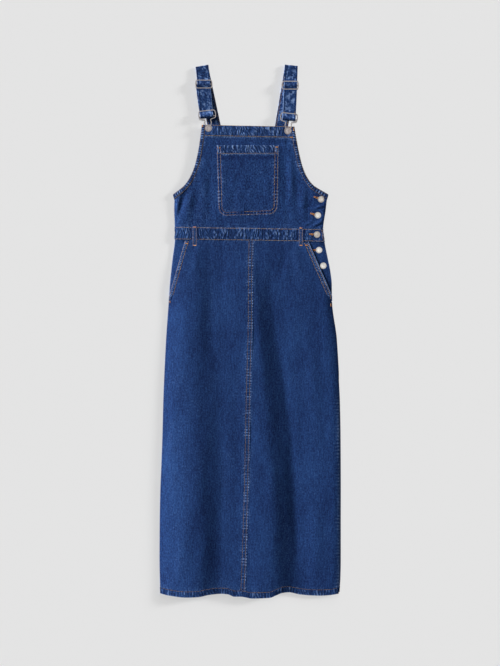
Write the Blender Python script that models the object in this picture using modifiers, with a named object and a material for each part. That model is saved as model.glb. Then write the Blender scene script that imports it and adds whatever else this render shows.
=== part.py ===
"""A denim overall dress lying flat, front up, with its straps toward +Y.

The tables are in millimetres: x runs across the dress, y from the hem to the straps, and z up from the
surface that it lies on. Heights y are those of the pattern before tilt() slants the waist and the bib
and waves the hem. The back lies on the surface, and the front lies on the back with its broad folds.
"""

import math

import bmesh
import bpy
import numpy as np
from mathutils import Vector

MM = 0.001
MIDDLE_X = 0.47  # of the whole dress's box, in the tables' frame
MIDDLE_Y = 0.49

GAP = 0.3  # between pieces that meet
CLOTH = 1.2  # one layer of denim
TURNED = 2.0  # a turned edge, the waistband and the straps
BAND = 2.2  # the bib's top band
FELLED = 1.8  # the centre seam
EDGE_CLOTH = 1.6  # pocket mouths and belt loops

HEM_Y = -616.0
HEM_DEPTH = 12.9
WAIST_LOW = 212.0
WAIST_TOP = 242.0
UNDERARM_Y = 317.5
BAND_LOW = 455.0
BIB_TOP = 481.0
BACK_TOP = 398.0

BACK_INSET = 0.9  # how far the back's edges lie inside the front's
BACK_HEM_RISE = 2.5

ARMHOLE_HEM = 9.0
SEAM_WIDTH = 12.0
MOUTH_EDGE = 9.0  # the double-stitched edge of a slant pocket, measured across
MOUTH_TIP_Y = 69.0
MOUTH_FULL_Y = 84.0
HIP_LAP = 20.0  # how far the hip piece runs on under the skirt front
LOOP_WIDTH = 13.0

PLACKET_X = 150.0
PLACKET_LOW = 135.0
PLACKET_TOP = 314.0

STRAP_HALF = 15.2
STRAP_UNDER_HALF = 15.7  # the doubled stretch shows at both edges of the upper one
FOLD_RADIUS = 1.6
WIRE = 1.1  # radius of the slider's and clasp's wire
CLASP_Z = 8.6
SLIDER_Z = 8.2
CLASP_BAR = 27.8  # from the button to the bar that the strap goes round
CLASP_TOP = 41.2
SLIDER_BAR = 9.1  # from the slider's middle bar to its outer ones

BIB_BUTTON = 8.5
SIDE_BUTTON = 7.7
SHANK = 2.2

DENIM = ((0.020, 0.052, 0.165), 0.85, 0.0)  # colour, roughness, metallic
WORN_DENIM = ((0.034, 0.073, 0.195), 0.85, 0.0)
NICKEL = ((0.62, 0.58, 0.54), 0.3, 1.0)


class Table:
    """Rows of named measurements against height, read on a curve that never overshoots them."""

    def __init__(self, names, rows):
        columns = np.array(rows).T
        self.heights = columns[0]
        self.values = dict(zip(names[1:], columns[1:]))
        self.slopes = {name: self.slopes_of(column) for name, column in self.values.items()}

    def slopes_of(self, column):
        rise = np.diff(column) / np.diff(self.heights)
        slopes = np.concatenate(([rise[0]], np.zeros(len(rise) - 1), [rise[-1]]))
        same_way = rise[:-1] * rise[1:] > 0
        pairs = np.where(same_way, rise[:-1] + rise[1:], 1.0)
        slopes[1:-1] = np.where(same_way, 2 * rise[:-1] * rise[1:] / pairs, 0.0)
        return slopes

    def at(self, name, height):
        """The named column's value at a height."""
        height = min(max(height, self.heights[0]), self.heights[-1])
        row = min(int(np.searchsorted(self.heights, height, side="right")) - 1, len(self.heights) - 2)
        step = self.heights[row + 1] - self.heights[row]
        s = (height - self.heights[row]) / step
        column, slopes = self.values[name], self.slopes[name]
        value = column[row] * (1 + 2 * s) * (1 - s) ** 2 + column[row + 1] * s * s * (3 - 2 * s)
        return value + step * (slopes[row] * s * (1 - s) ** 2 - slopes[row + 1] * s * s * (1 - s))


SIDES = Table(
    ("y", "left", "right"),
    (
        (-616.0, -210.4, 209.9),
        (-577.0, -211.4, 212.3),
        (-540.0, -212.1, 213.0),
        (-446.0, -211.6, 213.0),
        (-381.0, -210.5, 213.1),
        (-325.0, -208.3, 213.0),
        (-250.0, -205.5, 212.6),
        (-161.0, -203.2, 210.9),
        (-20.0, -196.8, 203.8),
        (73.0, -190.3, 192.3),
        (110.0, -188.0, 192.0),
        (143.0, -184.6, 188.4),
        (167.0, -181.8, 183.8),
        (213.0, -176.3, 174.8),
        (242.0, -176.0, 171.2),
        (284.0, -177.3, 177.0),
        (307.0, -176.8, 180.0),
        (317.5, -180.2, 183.2),
    ),
)

# Bezier control rows of the armholes, from the bib's top to the underarm, and which way each moves inwards.
ARMHOLE = {
    "y": (481.0, 364.0, 348.0, 317.5),
    "left": (-113.0, -125.0, -143.0, -180.2),
    "right": (103.7, 123.1, 128.9, 183.2),
    "inward_y": (0.0, -0.12, -0.64, -1.17),
    "inward_x": (1.0, 1.05, 0.98, 0.34),
}
BACK_ARMHOLE = {
    "y": (398.0, 360.0, 325.0, 314.0),
    "left": (-84.0, -95.0, -120.0, -176.5),
    "right": (80.0, 92.0, 120.0, 180.0),
}

# How high the front's underside lies: its edges, and a crest a, valley v, crest b, trough t and crest c
# between them. Crests a and c are placed from the edges, and the rest by their x.
SECTIONS = Table(
    ("y", "left_z", "a_in", "a_z", "v_x", "v_z", "b_x", "b_z", "t_x", "t_z", "c_in", "c_z", "right_z"),
    (
        (-620.0, 1.5, 88.0, 15.0, -65.0, 8.6, 46.0, 12.0, 113.0, 2.2, 46.0, 4.0, 1.5),
        (-420.0, 1.5, 86.0, 15.5, -65.0, 8.5, 45.0, 12.5, 111.0, 2.4, 42.0, 4.9, 1.5),
        (-190.0, 1.5, 76.0, 13.0, -60.0, 8.0, 32.0, 10.5, 90.0, 2.8, 45.0, 4.4, 1.5),
        (0.0, 1.5, 68.0, 11.5, -84.0, 7.5, 16.0, 9.8, 62.0, 3.2, 60.0, 4.2, 1.5),
        (60.0, 1.5, 66.0, 10.6, -85.0, 7.0, 12.0, 9.2, 56.0, 3.6, 62.0, 4.6, 1.5),
        (84.0, 3.0, 64.0, 10.0, -85.0, 6.6, 10.0, 8.8, 53.0, 3.9, 62.0, 4.9, 3.2),
        (135.0, 3.0, 56.0, 8.5, -85.0, 5.6, 6.0, 7.4, 48.0, 4.3, 60.0, 5.2, 4.5),
        (205.0, 3.0, 34.0, 5.2, -80.0, 5.0, 5.0, 5.4, 48.0, 5.0, 45.0, 5.2, 4.5),
        (242.0, 1.6, 20.0, 5.0, -75.0, 5.0, 5.0, 5.0, 50.0, 5.0, 24.0, 5.0, 3.1),
        (300.0, 1.6, 18.0, 5.0, -75.0, 5.0, 5.0, 5.0, 50.0, 5.0, 22.0, 5.0, 3.1),
        (335.0, 4.0, 14.0, 5.0, -60.0, 5.0, 5.0, 5.0, 50.0, 5.0, 14.0, 5.0, 4.0),
        (481.0, 4.2, 14.0, 5.0, -60.0, 5.0, 0.0, 5.0, 50.0, 5.0, 14.0, 5.0, 4.2),
    ),
)

HEM_WAVE = Table(
    ("x", "rise"),
    (
        (-211.0, 2.2),
        (-192.0, -1.8),
        (-150.0, -5.6),
        (-122.0, -4.4),
        (-94.0, 0.5),
        (-68.0, 2.2),
        (-52.0, 1.0),
        (-36.0, -4.5),
        (-22.0, -4.4),
        (6.0, -8.3),
        (30.0, -7.6),
        (47.0, -6.4),
        (61.0, -0.9),
        (75.0, 4.0),
        (89.0, 5.0),
        (117.0, -0.6),
        (145.0, -2.7),
        (164.0, -3.1),
        (187.0, -1.7),
        (213.0, 2.4),
    ),
)
CENTRE_LINE = Table(("y", "x"), ((-616.0, -16.3), (-231.0, -4.1), (212.0, 1.4)))
MOUTHS = {"left": (-150.1, -0.2948), "right": (137.0, 0.427)}  # x at the waistband, and mm per mm down

BELT_LOOPS = {"left": (-129.0, 197.0, 244.8), "right": (120.0, 201.5, 245.5)}  # middle x, low and top y

POCKET_LOW = 275.0
POCKET_TOP = 434.9
POCKET_HEM = 19.9
POCKET_CORNER = 19.0
POCKET_SIDES = ((-71.4, -76.1), (64.4, 67.2))  # x of each side at the bottom and the top

SKIRT_LEVELS = (-540.0, -480.0, -420.0, -360.0, -300.0, -240.0, -180.0, -120.0, -60.0, 0.0, 40.0)
MOUTH_LEVELS = (MOUTH_FULL_Y, 87.0, 110.0, 135.0, 160.0, 185.0, WAIST_LOW - GAP)
ARMHOLE_STEPS = (1.0, 0.94, 0.87, 0.79, 0.7, 0.6, 0.49, 0.37, 0.25)

# The straps: where each run passes, and where its slider and button sit.
STRAPS = {
    "left": {
        "back": (-66.2, -0.2124),  # x at the back bodice's top edge, and mm per mm up
        "front": (-101.0, -0.0930),  # x at the clasp's bar, and mm per mm up
        "fold": (-112.2, 620.0, 10.0),  # middle of the top fold, and its slant in degrees
        "under_shift": -3.0,  # how far the end of the doubled stretch lies aside from the run over it
        "slider": (-107.9, 578.2),
        "button": (-96.9, 474.9),
        "lean": 6.2,
    },
    "right": {
        "back": (60.3, 0.1655),
        "front": (91.2, 0.0456),
        "fold": (96.6, 621.1, -5.7),
        "under_shift": 0.0,
        "slider": (94.1, 575.6),
        "button": (88.3, 468.5),
        "lean": -5.6,
    },
}

CLASP_HALF = (  # x and y from the loop round the button, by the neck and shoulder, to the top bar
    (0.0, -4.0),
    (3.8, -2.4),
    (5.0, 2.5),
    (6.6, 8.0),
    (7.8, 13.5),
    (6.8, 18.0),
    (8.2, 20.7),
    (14.4, 22.4),
    (18.3, 24.2),
    (19.6, 28.5),
    (19.2, 36.5),
    (15.8, 41.0),
    (0.0, CLASP_TOP),
)
SLIDER_HALF = (  # x and y from the upper bar to the lower one
    (0.0, SLIDER_BAR),
    (13.5, SLIDER_BAR),
    (17.8, 7.6),
    (19.0, 0.0),
    (17.8, -7.6),
    (13.5, -SLIDER_BAR),
    (0.0, -SLIDER_BAR),
)

SIDE_BUTTONS = (  # x, y, and how far the buttonhole's far end rises
    (166.1, 307.3, 2.5),
    (158.7, 272.8, 1.0),
    (156.6, 228.7, 0.5),
    (161.7, 192.5, 0.5),
    (171.5, 155.1, 0.0),
)


def ramp(value, start, end):
    """0 before start, 1 past end, and a smooth rise between them."""
    s = min(max((value - start) / (end - start), 0.0), 1.0)
    return s * s * (3 - 2 * s)


def tilt(x, y):
    """How far the cloth at a place of the pattern is shifted up, by the hem's waves, the slants and the underarms."""
    hem = ramp(y, -480.0, HEM_Y) * HEM_WAVE.at("rise", x)
    waist = -0.0155 * x * ramp(y, 90.0, 200.0) * ramp(y, 305.0, 250.0)
    bib = -0.0195 * x * ramp(y, 330.0, 450.0)
    underarms = (2.4 * ramp(x, -154.0, -174.0) + 2.4 * ramp(x, 148.0, 168.0)) * ramp(y, 296.0, 316.0)
    return hem + waist + bib + underarms


def laid(x, y, z):
    """A point of the tables, in the part's own frame."""
    return Vector(((x - MIDDLE_X) * MM, (y + tilt(x, y) - MIDDLE_Y) * MM, z * MM))


def placed(x, y, z):
    """A point that is not on the pattern, such as hardware, in the part's own frame."""
    return Vector(((x - MIDDLE_X) * MM, (y - MIDDLE_Y) * MM, z * MM))


def bezier(controls, t):
    """The cubic Bezier value of four numbers."""
    a, b, c, d = controls
    return a * (1 - t) ** 3 + 3 * b * t * (1 - t) ** 2 + 3 * c * t * t * (1 - t) + d * t**3


def inwards(side):
    """Which way x runs from a side toward the middle."""
    return 1 if side == "left" else -1


def armhole_point(side, t, inset):
    """A point of the armhole, from the bib's top at 0 to the underarm at 1, moved inwards."""
    x = bezier(ARMHOLE[side], t) + inwards(side) * inset * bezier(ARMHOLE["inward_x"], t)
    return x, bezier(ARMHOLE["y"], t) + inset * bezier(ARMHOLE["inward_y"], t)


def armhole_step(y, inset=0.0):
    """Where along the armhole it reaches a height."""
    steps = np.linspace(1.0, 0.0, 201)
    return float(np.interp(y, [armhole_point("left", t, inset)[1] for t in steps], steps))


ARMHOLE_SAMPLES = {
    side: [armhole_point(side, t, 0.0) for t in np.linspace(1.0, 0.0, 60)] for side in ("left", "right")
}


def outline(side, y):
    """The front's outline on one side: the side seam, then the armhole."""
    if y <= UNDERARM_Y:
        return SIDES.at(side, y)
    across, heights = zip(*ARMHOLE_SAMPLES[side])
    return float(np.interp(y, heights, across))


def front_rest(x, y):
    """Height of the front's underside."""
    left, right = outline("left", y), outline("right", y)
    knots = [
        (left, SECTIONS.at("left_z", y)),
        (left + SECTIONS.at("a_in", y), SECTIONS.at("a_z", y)),
        (SECTIONS.at("v_x", y), SECTIONS.at("v_z", y)),
        (SECTIONS.at("b_x", y), SECTIONS.at("b_z", y)),
        (SECTIONS.at("t_x", y), SECTIONS.at("t_z", y)),
        (right - SECTIONS.at("c_in", y), SECTIONS.at("c_z", y)),
        (right, SECTIONS.at("right_z", y)),
    ]
    x = min(max(x, left), right)
    span = next(i for i in range(6) if x <= knots[i + 1][0] or i == 5)
    (x0, z0), (x1, z1) = knots[span], knots[span + 1]
    s = (x - x0) / (x1 - x0)
    if span == 0:
        return z0 + (z1 - z0) * (1 - (1 - s) ** 2)
    if span == 5:
        return z0 + (z1 - z0) * s**5
    return z0 + (z1 - z0) * s * s * (3 - 2 * s)


def mouth_line(side, y):
    """The slant pocket's open edge, which ends on the outline."""
    x, slope = MOUTHS[side]
    x += slope * (WAIST_LOW - y)
    if side == "left":
        return max(x, outline(side, y))
    return min(x, outline(side, y))


def mouth_inner(side, y, beyond=0.0):
    """The inner side of the pocket's stitched edge, which narrows to a tip on the outline."""
    width = MOUTH_EDGE * min(max((y - MOUTH_TIP_Y) / (MOUTH_FULL_Y - MOUTH_TIP_Y), 0.0), 1.0)
    return mouth_line(side, y) + inwards(side) * (width + beyond)


def front_side(side, y):
    """The skirt front's outer edge: just inside the back's on the right, below the side opening."""
    if side == "left":
        return outline(side, y)
    return outline(side, y) - 3.0 * ramp(y, -90.0, -170.0)


def skirt_edge(side, y):
    """The skirt front's outer edge, with the pocket mouth cut off it."""
    if y <= MOUTH_TIP_Y:
        return front_side(side, y) + inwards(side) * GAP
    return mouth_inner(side, y, GAP)


def material(name, color, roughness, metallic):
    """A plain finish."""
    made = bpy.data.materials.new(name)
    made.use_nodes = True
    shader = made.node_tree.nodes["Principled BSDF"]
    shader.inputs["Base Color"].default_value = (*color, 1.0)
    shader.inputs["Roughness"].default_value = roughness
    shader.inputs["Metallic"].default_value = metallic
    made.diffuse_color = (*color, 1.0)
    return made


def add(name, mesh, collection, surface, location=(0.0, 0.0, 0.0)):
    """An object in a collection, with its own copy of a material."""
    obj = bpy.data.objects.new(name, mesh)
    obj.location = location
    collection.objects.link(obj)
    if surface:
        mesh.materials.append(material(name, *surface))
    return obj


def thickened(obj, thickness, offset):
    solid = obj.modifiers.new("thickness", "SOLIDIFY")
    solid.thickness = thickness * MM
    solid.offset = offset
    solid.use_even_offset = True


def grid(columns, levels, place):
    """An open surface facing up, with a point for each column and level."""
    made = bmesh.new()
    bmesh.ops.create_grid(made, x_segments=len(columns) - 1, y_segments=len(levels) - 1, size=0.5)
    for vert in made.verts:
        column = columns[round((vert.co.x + 0.5) * (len(columns) - 1))]
        level = levels[round((vert.co.y + 0.5) * (len(levels) - 1))]
        vert.co = place(column, level)
    made.normal_update()
    if sum(face.normal.z for face in made.faces) < 0:
        bmesh.ops.reverse_faces(made, faces=made.faces[:])
    mesh = bpy.data.meshes.new("grid")
    made.to_mesh(mesh)
    made.free()
    return mesh


def steps(count):
    """Even fractions from 0 to 1."""
    return [i / count for i in range(count + 1)]


def sheet(name, collection, columns, levels, place, thickness, surface=DENIM):
    """A wall of cloth above the points that place gives for each column and level."""
    obj = add(name, grid(steps(columns), levels, place), collection, surface)
    thickened(obj, thickness, 1.0)
    obj.data.shade_smooth()
    obj.data.set_sharp_from_angle(angle=math.radians(50))
    return obj


def between(left, right, rest):
    """Places points on straight rows between two edges, at the height that rest gives."""

    def place(u, y):
        x = left(y) + (right(y) - left(y)) * u
        return laid(x, y, rest(x, y))

    return place


def on_surface(x, y):
    """The back's underside."""
    return 0.0


def back_edge(side):
    """The back's outer edge, hidden under the front but for a sliver below the side opening."""

    def x(y):
        hidden = BACK_INSET if side == "left" else BACK_INSET * ramp(y, -170.0, -90.0)
        return outline(side, y) + inwards(side) * hidden

    return x


def front_edge(side):
    return lambda y: outline(side, y)


def make_skirt(parts):
    def seam(offset):
        return lambda y: CENTRE_LINE.at("x", y) + offset

    hem_top = HEM_Y + HEM_DEPTH
    half = SEAM_WIDTH / 2
    levels = (hem_top + GAP, *SKIRT_LEVELS, MOUTH_TIP_Y, *MOUTH_LEVELS)
    left = between(lambda y: skirt_edge("left", y), seam(-half - GAP), front_rest)
    right = between(seam(half + GAP), lambda y: skirt_edge("right", y), front_rest)
    felled = between(seam(-half), seam(half), front_rest)
    sheet("skirt_front_left", parts, 14, levels, left, CLOTH)
    sheet("skirt_front_right", parts, 14, levels, right, CLOTH)
    sheet("centre_front_seam", parts, 2, levels, felled, FELLED, WORN_DENIM)

    def hem(u, y):
        """The columns run on from those of the two fronts, with one more in the middle of the seam."""
        column, middle, lap = round(30 * u), CENTRE_LINE.at("x", y), half + GAP
        left_edge, right_edge = front_side("left", y), front_side("right", y)
        x = middle
        if column < 15:
            x = left_edge + (middle - lap - left_edge) * column / 14
        elif column > 15:
            x = middle + lap + (right_edge - middle - lap) * (column - 16) / 14
        return laid(x, y, front_rest(x, y))

    sheet("hem_front", parts, 30, (HEM_Y, hem_top), hem, TURNED, WORN_DENIM)

    back = between(back_edge("left"), back_edge("right"), on_surface)
    back_hem = (HEM_Y + BACK_HEM_RISE, hem_top + BACK_HEM_RISE)
    back_levels = (back_hem[1] + GAP, *SKIRT_LEVELS, 80.0, 120.0, 165.0, WAIST_LOW - GAP)
    sheet("back_skirt", parts, 10, back_levels, back, CLOTH)
    sheet("hem_back", parts, 10, back_hem, back, CLOTH, WORN_DENIM)


def make_hip_pocket(parts, side):
    """The slant pocket's stitched edge, and the piece seen in its mouth, which runs on under the front."""

    def under_front(x, y):
        return front_rest(x, y) - CLOTH - GAP

    mouth = between(lambda y: mouth_line(side, y), lambda y: mouth_inner(side, y), front_rest)
    levels = (MOUTH_TIP_Y + 2.0, *MOUTH_LEVELS)
    sheet("pocket_edge_" + side, parts, 1, levels, mouth, EDGE_CLOTH, WORN_DENIM)
    hip = between(
        lambda y: outline(side, y) + inwards(side) * 0.4,
        lambda y: mouth_line(side, y) + inwards(side) * HIP_LAP,
        under_front,
    )
    sheet("hip_piece_" + side, parts, 5, MOUTH_LEVELS, hip, CLOTH)


def make_waist(parts):
    band = (WAIST_LOW, (WAIST_LOW + WAIST_TOP) / 2, WAIST_TOP)
    front = between(front_edge("left"), front_edge("right"), front_rest)
    sheet("waistband_front", parts, 24, band, front, TURNED, WORN_DENIM)
    back = between(back_edge("left"), back_edge("right"), on_surface)
    sheet("waistband_back", parts, 2, band, back, CLOTH)


def make_belt_loop(parts, side, middle, low, top):
    """A loop with its ends on the skirt and the bib, which passes over the thicker waistband."""
    raised = {low: 0.0, low + 4.0: 0.0, WAIST_LOW - 2.5: 1.0, WAIST_TOP + 1.2: 1.0, top: 0.4}

    def place(u, y):
        x = middle + LOOP_WIDTH * (u - 0.5)
        lift = CLOTH + GAP + 0.1 + raised[y] * (TURNED - CLOTH + 0.1)
        return laid(x, y, front_rest(x, y) + lift)

    sheet("belt_loop_" + side, parts, 1, tuple(raised), place, EDGE_CLOTH, WORN_DENIM)


def make_bib(parts):
    inset = ARMHOLE_HEM + GAP
    sides = ("left", "right")
    below_band = armhole_step(BAND_LOW - GAP, inset)

    def bodice(u, level):
        """Rows end on the side seams up to the underarm, and on the armhole hems above it."""
        y, t = level
        left, right = (SIDES.at(s, y) if t is None else armhole_point(s, t, inset)[0] for s in sides)
        x = left + (right - left) * u
        return laid(x, y, front_rest(x, y))

    def band(u, t):
        (left, y), (right, _) = (armhole_point(side, t, inset) for side in sides)
        x = left + (right - left) * u
        return laid(x, y, front_rest(x, y))

    straight = [(y, None) for y in (WAIST_TOP + GAP, 262.0, 284.0)]
    curved = [(armhole_point("left", t, inset)[1], t) for t in (*ARMHOLE_STEPS, below_band)]
    sheet("front_bodice", parts, 18, straight + curved, bodice, CLOTH)
    band_low = armhole_step(BAND_LOW, inset)
    sheet("bib_top_band", parts, 12, (band_low, band_low / 2, 0.0), band, BAND, WORN_DENIM)


def make_armhole_hem(parts, side):
    def place(u, t):
        x, y = armhole_point(side, t, ARMHOLE_HEM * u)
        return laid(x, y, front_rest(x, y))

    levels = (*ARMHOLE_STEPS, armhole_step(BAND_LOW - GAP, ARMHOLE_HEM), 0.0)
    sheet("armhole_hem_" + side, parts, 1, levels, place, TURNED, WORN_DENIM)


def make_bib_pocket(parts):
    height = POCKET_TOP - POCKET_LOW

    def place(u, s):
        left, right = (low + (top - low) * s for low, top in POCKET_SIDES)
        if s * height < POCKET_CORNER:
            cut = POCKET_CORNER - math.sqrt(POCKET_CORNER**2 - (POCKET_CORNER - s * height) ** 2)
            left, right = left + cut, right - cut
        x = left + (right - left) * u
        low, top = POCKET_LOW + 0.045 * x, POCKET_TOP + 0.017 * x
        y = low + (top - low) * s
        return laid(x, y, front_rest(x, y) + CLOTH + GAP)

    corner = [POCKET_CORNER / height * (1 - math.cos(math.radians(a))) for a in (0, 22, 45, 68, 90)]
    hem = 1 - POCKET_HEM / height
    sheet("bib_pocket", parts, 8, (*corner, 0.5, hem - GAP / height), place, CLOTH)
    sheet("bib_pocket_hem", parts, 8, (hem, 1.0), place, TURNED, WORN_DENIM)


def make_back_bodice(parts):
    straight = [(y, None) for y in (WAIST_TOP + GAP, 284.0)]
    curved = [(bezier(BACK_ARMHOLE["y"], t), t) for t in (1.0, 0.85, 0.7, 0.55, 0.4, 0.2, 0.0)]

    def place(u, level):
        y, t = level
        left, right = (
            back_edge(side)(y) if t is None else bezier(BACK_ARMHOLE[side], t) for side in ("left", "right")
        )
        return laid(left + (right - left) * u, y, 0.0)

    sheet("back_bodice", parts, 10, straight + curved, place, CLOTH)


def make_side_placket(parts):
    """The strip on the back that carries the side buttons, under the front's open edge."""
    levels = (PLACKET_LOW, 167.0, 213.0, 242.0, 284.0, PLACKET_TOP - 9.0, PLACKET_TOP - 4.0)
    place = between(lambda y: PLACKET_X, lambda y: outline("right", y) - 4.0, lambda x, y: CLOTH + GAP)
    sheet("side_placket", parts, 1, levels, place, CLOTH)


def ribbon(name, collection, stations, thickness, surface):
    """Cloth of a strap along (middle, half width) pairs of the tables' points."""

    def place(u, i):
        middle, half = stations[i]
        return middle + half * (2 * u - 1)

    mesh = grid((0.0, 1.0), range(len(stations)), place)
    obj = add(name, mesh, collection, surface)
    thickened(obj, thickness, 0.0)
    return obj


def strap_stations(side):
    """The strap's middle and half width, from the back bodice over the top fold to the slider's bar."""
    strap = STRAPS[side]
    back_x, back_slope = strap["back"]
    front_x, front_slope = strap["front"]
    fold_x, fold_y, slant = strap["fold"]
    button_x, button_y = strap["button"]
    lean = math.radians(strap["lean"])
    bar_y, clasp_top_y = (
        button_y + (front_x - button_x) * math.tan(lean) + reach / math.cos(lean)
        for reach in (CLASP_BAR, CLASP_TOP)
    )
    slider_y = strap["slider"][1]

    def back(y, z):
        half = Vector((1.0, -back_slope, 0.0)).normalized() * STRAP_HALF
        return placed(back_x + back_slope * (y - BACK_TOP), y, z), half * MM

    def front(y, z, half_width=STRAP_HALF, turn=-math.degrees(math.atan(front_slope)), shift=0.0):
        half = Vector((math.cos(math.radians(turn)), math.sin(math.radians(turn)), 0.0)) * half_width
        return placed(front_x + front_slope * (y - bar_y) + shift, y, z), half * MM

    def fold(angle):
        crease = Vector((math.cos(math.radians(slant)), math.sin(math.radians(slant)), 0.0))
        across = Vector((-crease.y, crease.x, 0.0)) * FOLD_RADIUS * math.cos(math.radians(angle))
        z = TURNED / 2 + FOLD_RADIUS * (1 + math.sin(math.radians(angle)))
        return placed(fold_x + across.x, fold_y + across.y, z), crease * STRAP_HALF * MM

    def wrapped(angle):
        radius = WIRE + GAP + 0.05 + TURNED / 2
        turn = math.radians(angle)
        half_width = STRAP_HALF + (STRAP_UNDER_HALF - STRAP_HALF) * angle / 180
        y, z = bar_y - radius * math.sin(turn), CLASP_Z + radius * math.cos(turn)
        return front(y, z, half_width, strap["lean"])

    clear = WIRE + GAP + 0.1 + TURNED / 2  # from a wire's middle to the strap's
    on_bodice = CLOTH + GAP + TURNED / 2
    under_slider, over_slider = SLIDER_Z - clear, SLIDER_Z + clear
    under_clasp = CLASP_Z - clear
    below = under_slider - TURNED - GAP
    flat = TURNED / 2
    back_run = ((BACK_TOP - 18.0, on_bodice), (BACK_TOP + 3.0, on_bodice), (BACK_TOP + 16.0, flat))
    stations = [back(y, z) for y, z in back_run]
    stations += [back(y, flat) for y in (480.0, 550.0, fold_y - 8.0)]
    stations += [fold(angle) for angle in (-90, -45, 0, 45, 90)]
    down = ((26.0, 4.3), (13.0, 5.0), (11.4, under_slider), (7.4, under_slider), (2.2, over_slider))
    on = ((-2.2, over_slider), (-7.4, under_slider), (-11.4, under_slider), (-24.0, under_slider))
    stations += [front(slider_y + dy, z, turn=0.0) for dy, z in (*down, *on)]
    clasped = (
        (clasp_top_y + 4.0, under_clasp),
        (clasp_top_y - 3.5, under_clasp),
        (bar_y + 3.5, CLASP_Z + 2.3),
    )
    stations += [front(y, z, turn=strap["lean"]) for y, z in clasped]
    stations += [wrapped(angle) for angle in (0, 36, 72, 108, 144, 180)]
    under_front = under_clasp - TURNED - GAP - 0.1
    shift = strap["under_shift"]
    returned = ((bar_y + 7.0, under_front, 0.0), (clasp_top_y + 8.0, under_front, shift * 0.4))
    stations += [front(y, z, STRAP_UNDER_HALF, strap["lean"], aside) for y, z, aside in returned]
    end = ((-24.0, below), (-5.0, below), (-2.0, under_slider - 0.8), (1.0, under_slider))
    stations += [front(slider_y + dy, z, STRAP_UNDER_HALF, 0.0, shift) for dy, z in end]
    return stations


def wire_mesh(points, radius, closed):
    """A wire through points, as a mesh."""
    curve = bpy.data.curves.new("wire", "CURVE")
    curve.dimensions = "3D"
    curve.bevel_depth = radius
    curve.bevel_resolution = 2
    curve.use_fill_caps = True
    spline = curve.splines.new("POLY")
    spline.points.add(len(points) - 1)
    spline.use_cyclic_u = closed
    for target, point in zip(spline.points, points):
        target.co = (*point, 1.0)
    guide = bpy.data.objects.new("wire", curve)
    bpy.context.scene.collection.objects.link(guide)
    graph = bpy.context.evaluated_depsgraph_get()
    mesh = bpy.data.meshes.new_from_object(guide.evaluated_get(graph))
    bpy.data.objects.remove(guide)
    welded = bmesh.new()
    welded.from_mesh(mesh)
    bmesh.ops.remove_doubles(welded, verts=welded.verts[:], dist=1e-6)
    welded.to_mesh(mesh)
    welded.free()
    return mesh


def rounded_loop(half, per_span):
    """A closed smooth loop through the points of its right half, mirrored in the y axis."""
    mirrored = [(-x, y) for x, y in reversed(half) if x > 0]
    corners = [Vector((x, y, 0.0)) for x, y in (*half, *mirrored)]
    loop = []
    for i, start in enumerate(corners):
        end, beyond = corners[(i + 1) % len(corners)], corners[(i + 2) % len(corners)]
        leave, arrive = (end - corners[i - 1]) / 2, (beyond - start) / 2
        for k in range(per_span):
            s = k / per_span
            bend = leave * s * (1 - s) ** 2 - arrive * s * s * (1 - s)
            loop.append(start.lerp(end, s * s * (3 - 2 * s)) + bend)
    return loop


def make_hardware(name, parts, tools, half, bar_y, origin, height, lean):
    """A wire frame with a bar across it, turned about its origin."""
    loop = [point * MM for point in rounded_loop(half, 2)]
    frame = add(name, wire_mesh(loop, WIRE * MM, True), parts, NICKEL)
    reach = max(x for x, y in half) - 0.4 * WIRE
    ends = [(x * MM, bar_y * MM, 0.0) for x in (-reach, reach)]
    bar = add(name + "_bar", wire_mesh(ends, WIRE * MM, False), tools, None)
    for obj in (frame, bar):
        obj.location = placed(*origin, height)
        obj.rotation_euler.z = math.radians(lean)
    join = frame.modifiers.new("bar", "BOOLEAN")
    join.operation = "UNION"
    join.object = bar
    frame.data.shade_smooth()


def make_straps(parts, tools):
    for side, strap in STRAPS.items():
        ribbon("strap_" + side, parts, strap_stations(side), TURNED, WORN_DENIM)
        x, y = strap["button"]
        lean = strap["lean"]
        make_hardware("clasp_" + side, parts, tools, CLASP_HALF, CLASP_BAR, (x, y), CLASP_Z, lean)
        make_hardware("slider_" + side, parts, tools, SLIDER_HALF, 0.0, strap["slider"], SLIDER_Z, 0.0)


def button(name, parts, location, base, head, radius):
    """A shank button: a turned head with a raised rim on a pin."""
    profile = (
        (0.0, head + 2.0),
        (radius * 0.55, head + 2.0),
        (radius * 0.70, head + 2.5),
        (radius * 0.88, head + 2.4),
        (radius, head + 1.4),
        (radius * 0.94, head + 0.5),
        (radius * 0.6, head),
        (SHANK, head),
        (SHANK, base),
        (0.0, base),
    )
    made = bmesh.new()
    verts = [made.verts.new((r * MM, 0.0, z * MM)) for r, z in profile]
    for first, second in zip(verts, verts[1:]):
        made.edges.new((first, second))
    mesh = bpy.data.meshes.new(name)
    made.to_mesh(mesh)
    made.free()
    obj = add(name, mesh, parts, NICKEL, location)
    turn = obj.modifiers.new("turn", "SCREW")
    turn.axis = "Z"
    turn.steps = turn.render_steps = 18
    turn.use_merge_vertices = True
    turn.merge_threshold = 1e-6
    turn.use_smooth_shade = True


def head_height(x, y, radius, top):
    """Where a button's head clears the cloth under it."""
    ring = [(x + radius * math.cos(a), y + radius * math.sin(a)) for a in np.linspace(0, math.tau, 13)]
    return max(top(*point) for point in ((x, y), *ring)) + GAP


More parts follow.
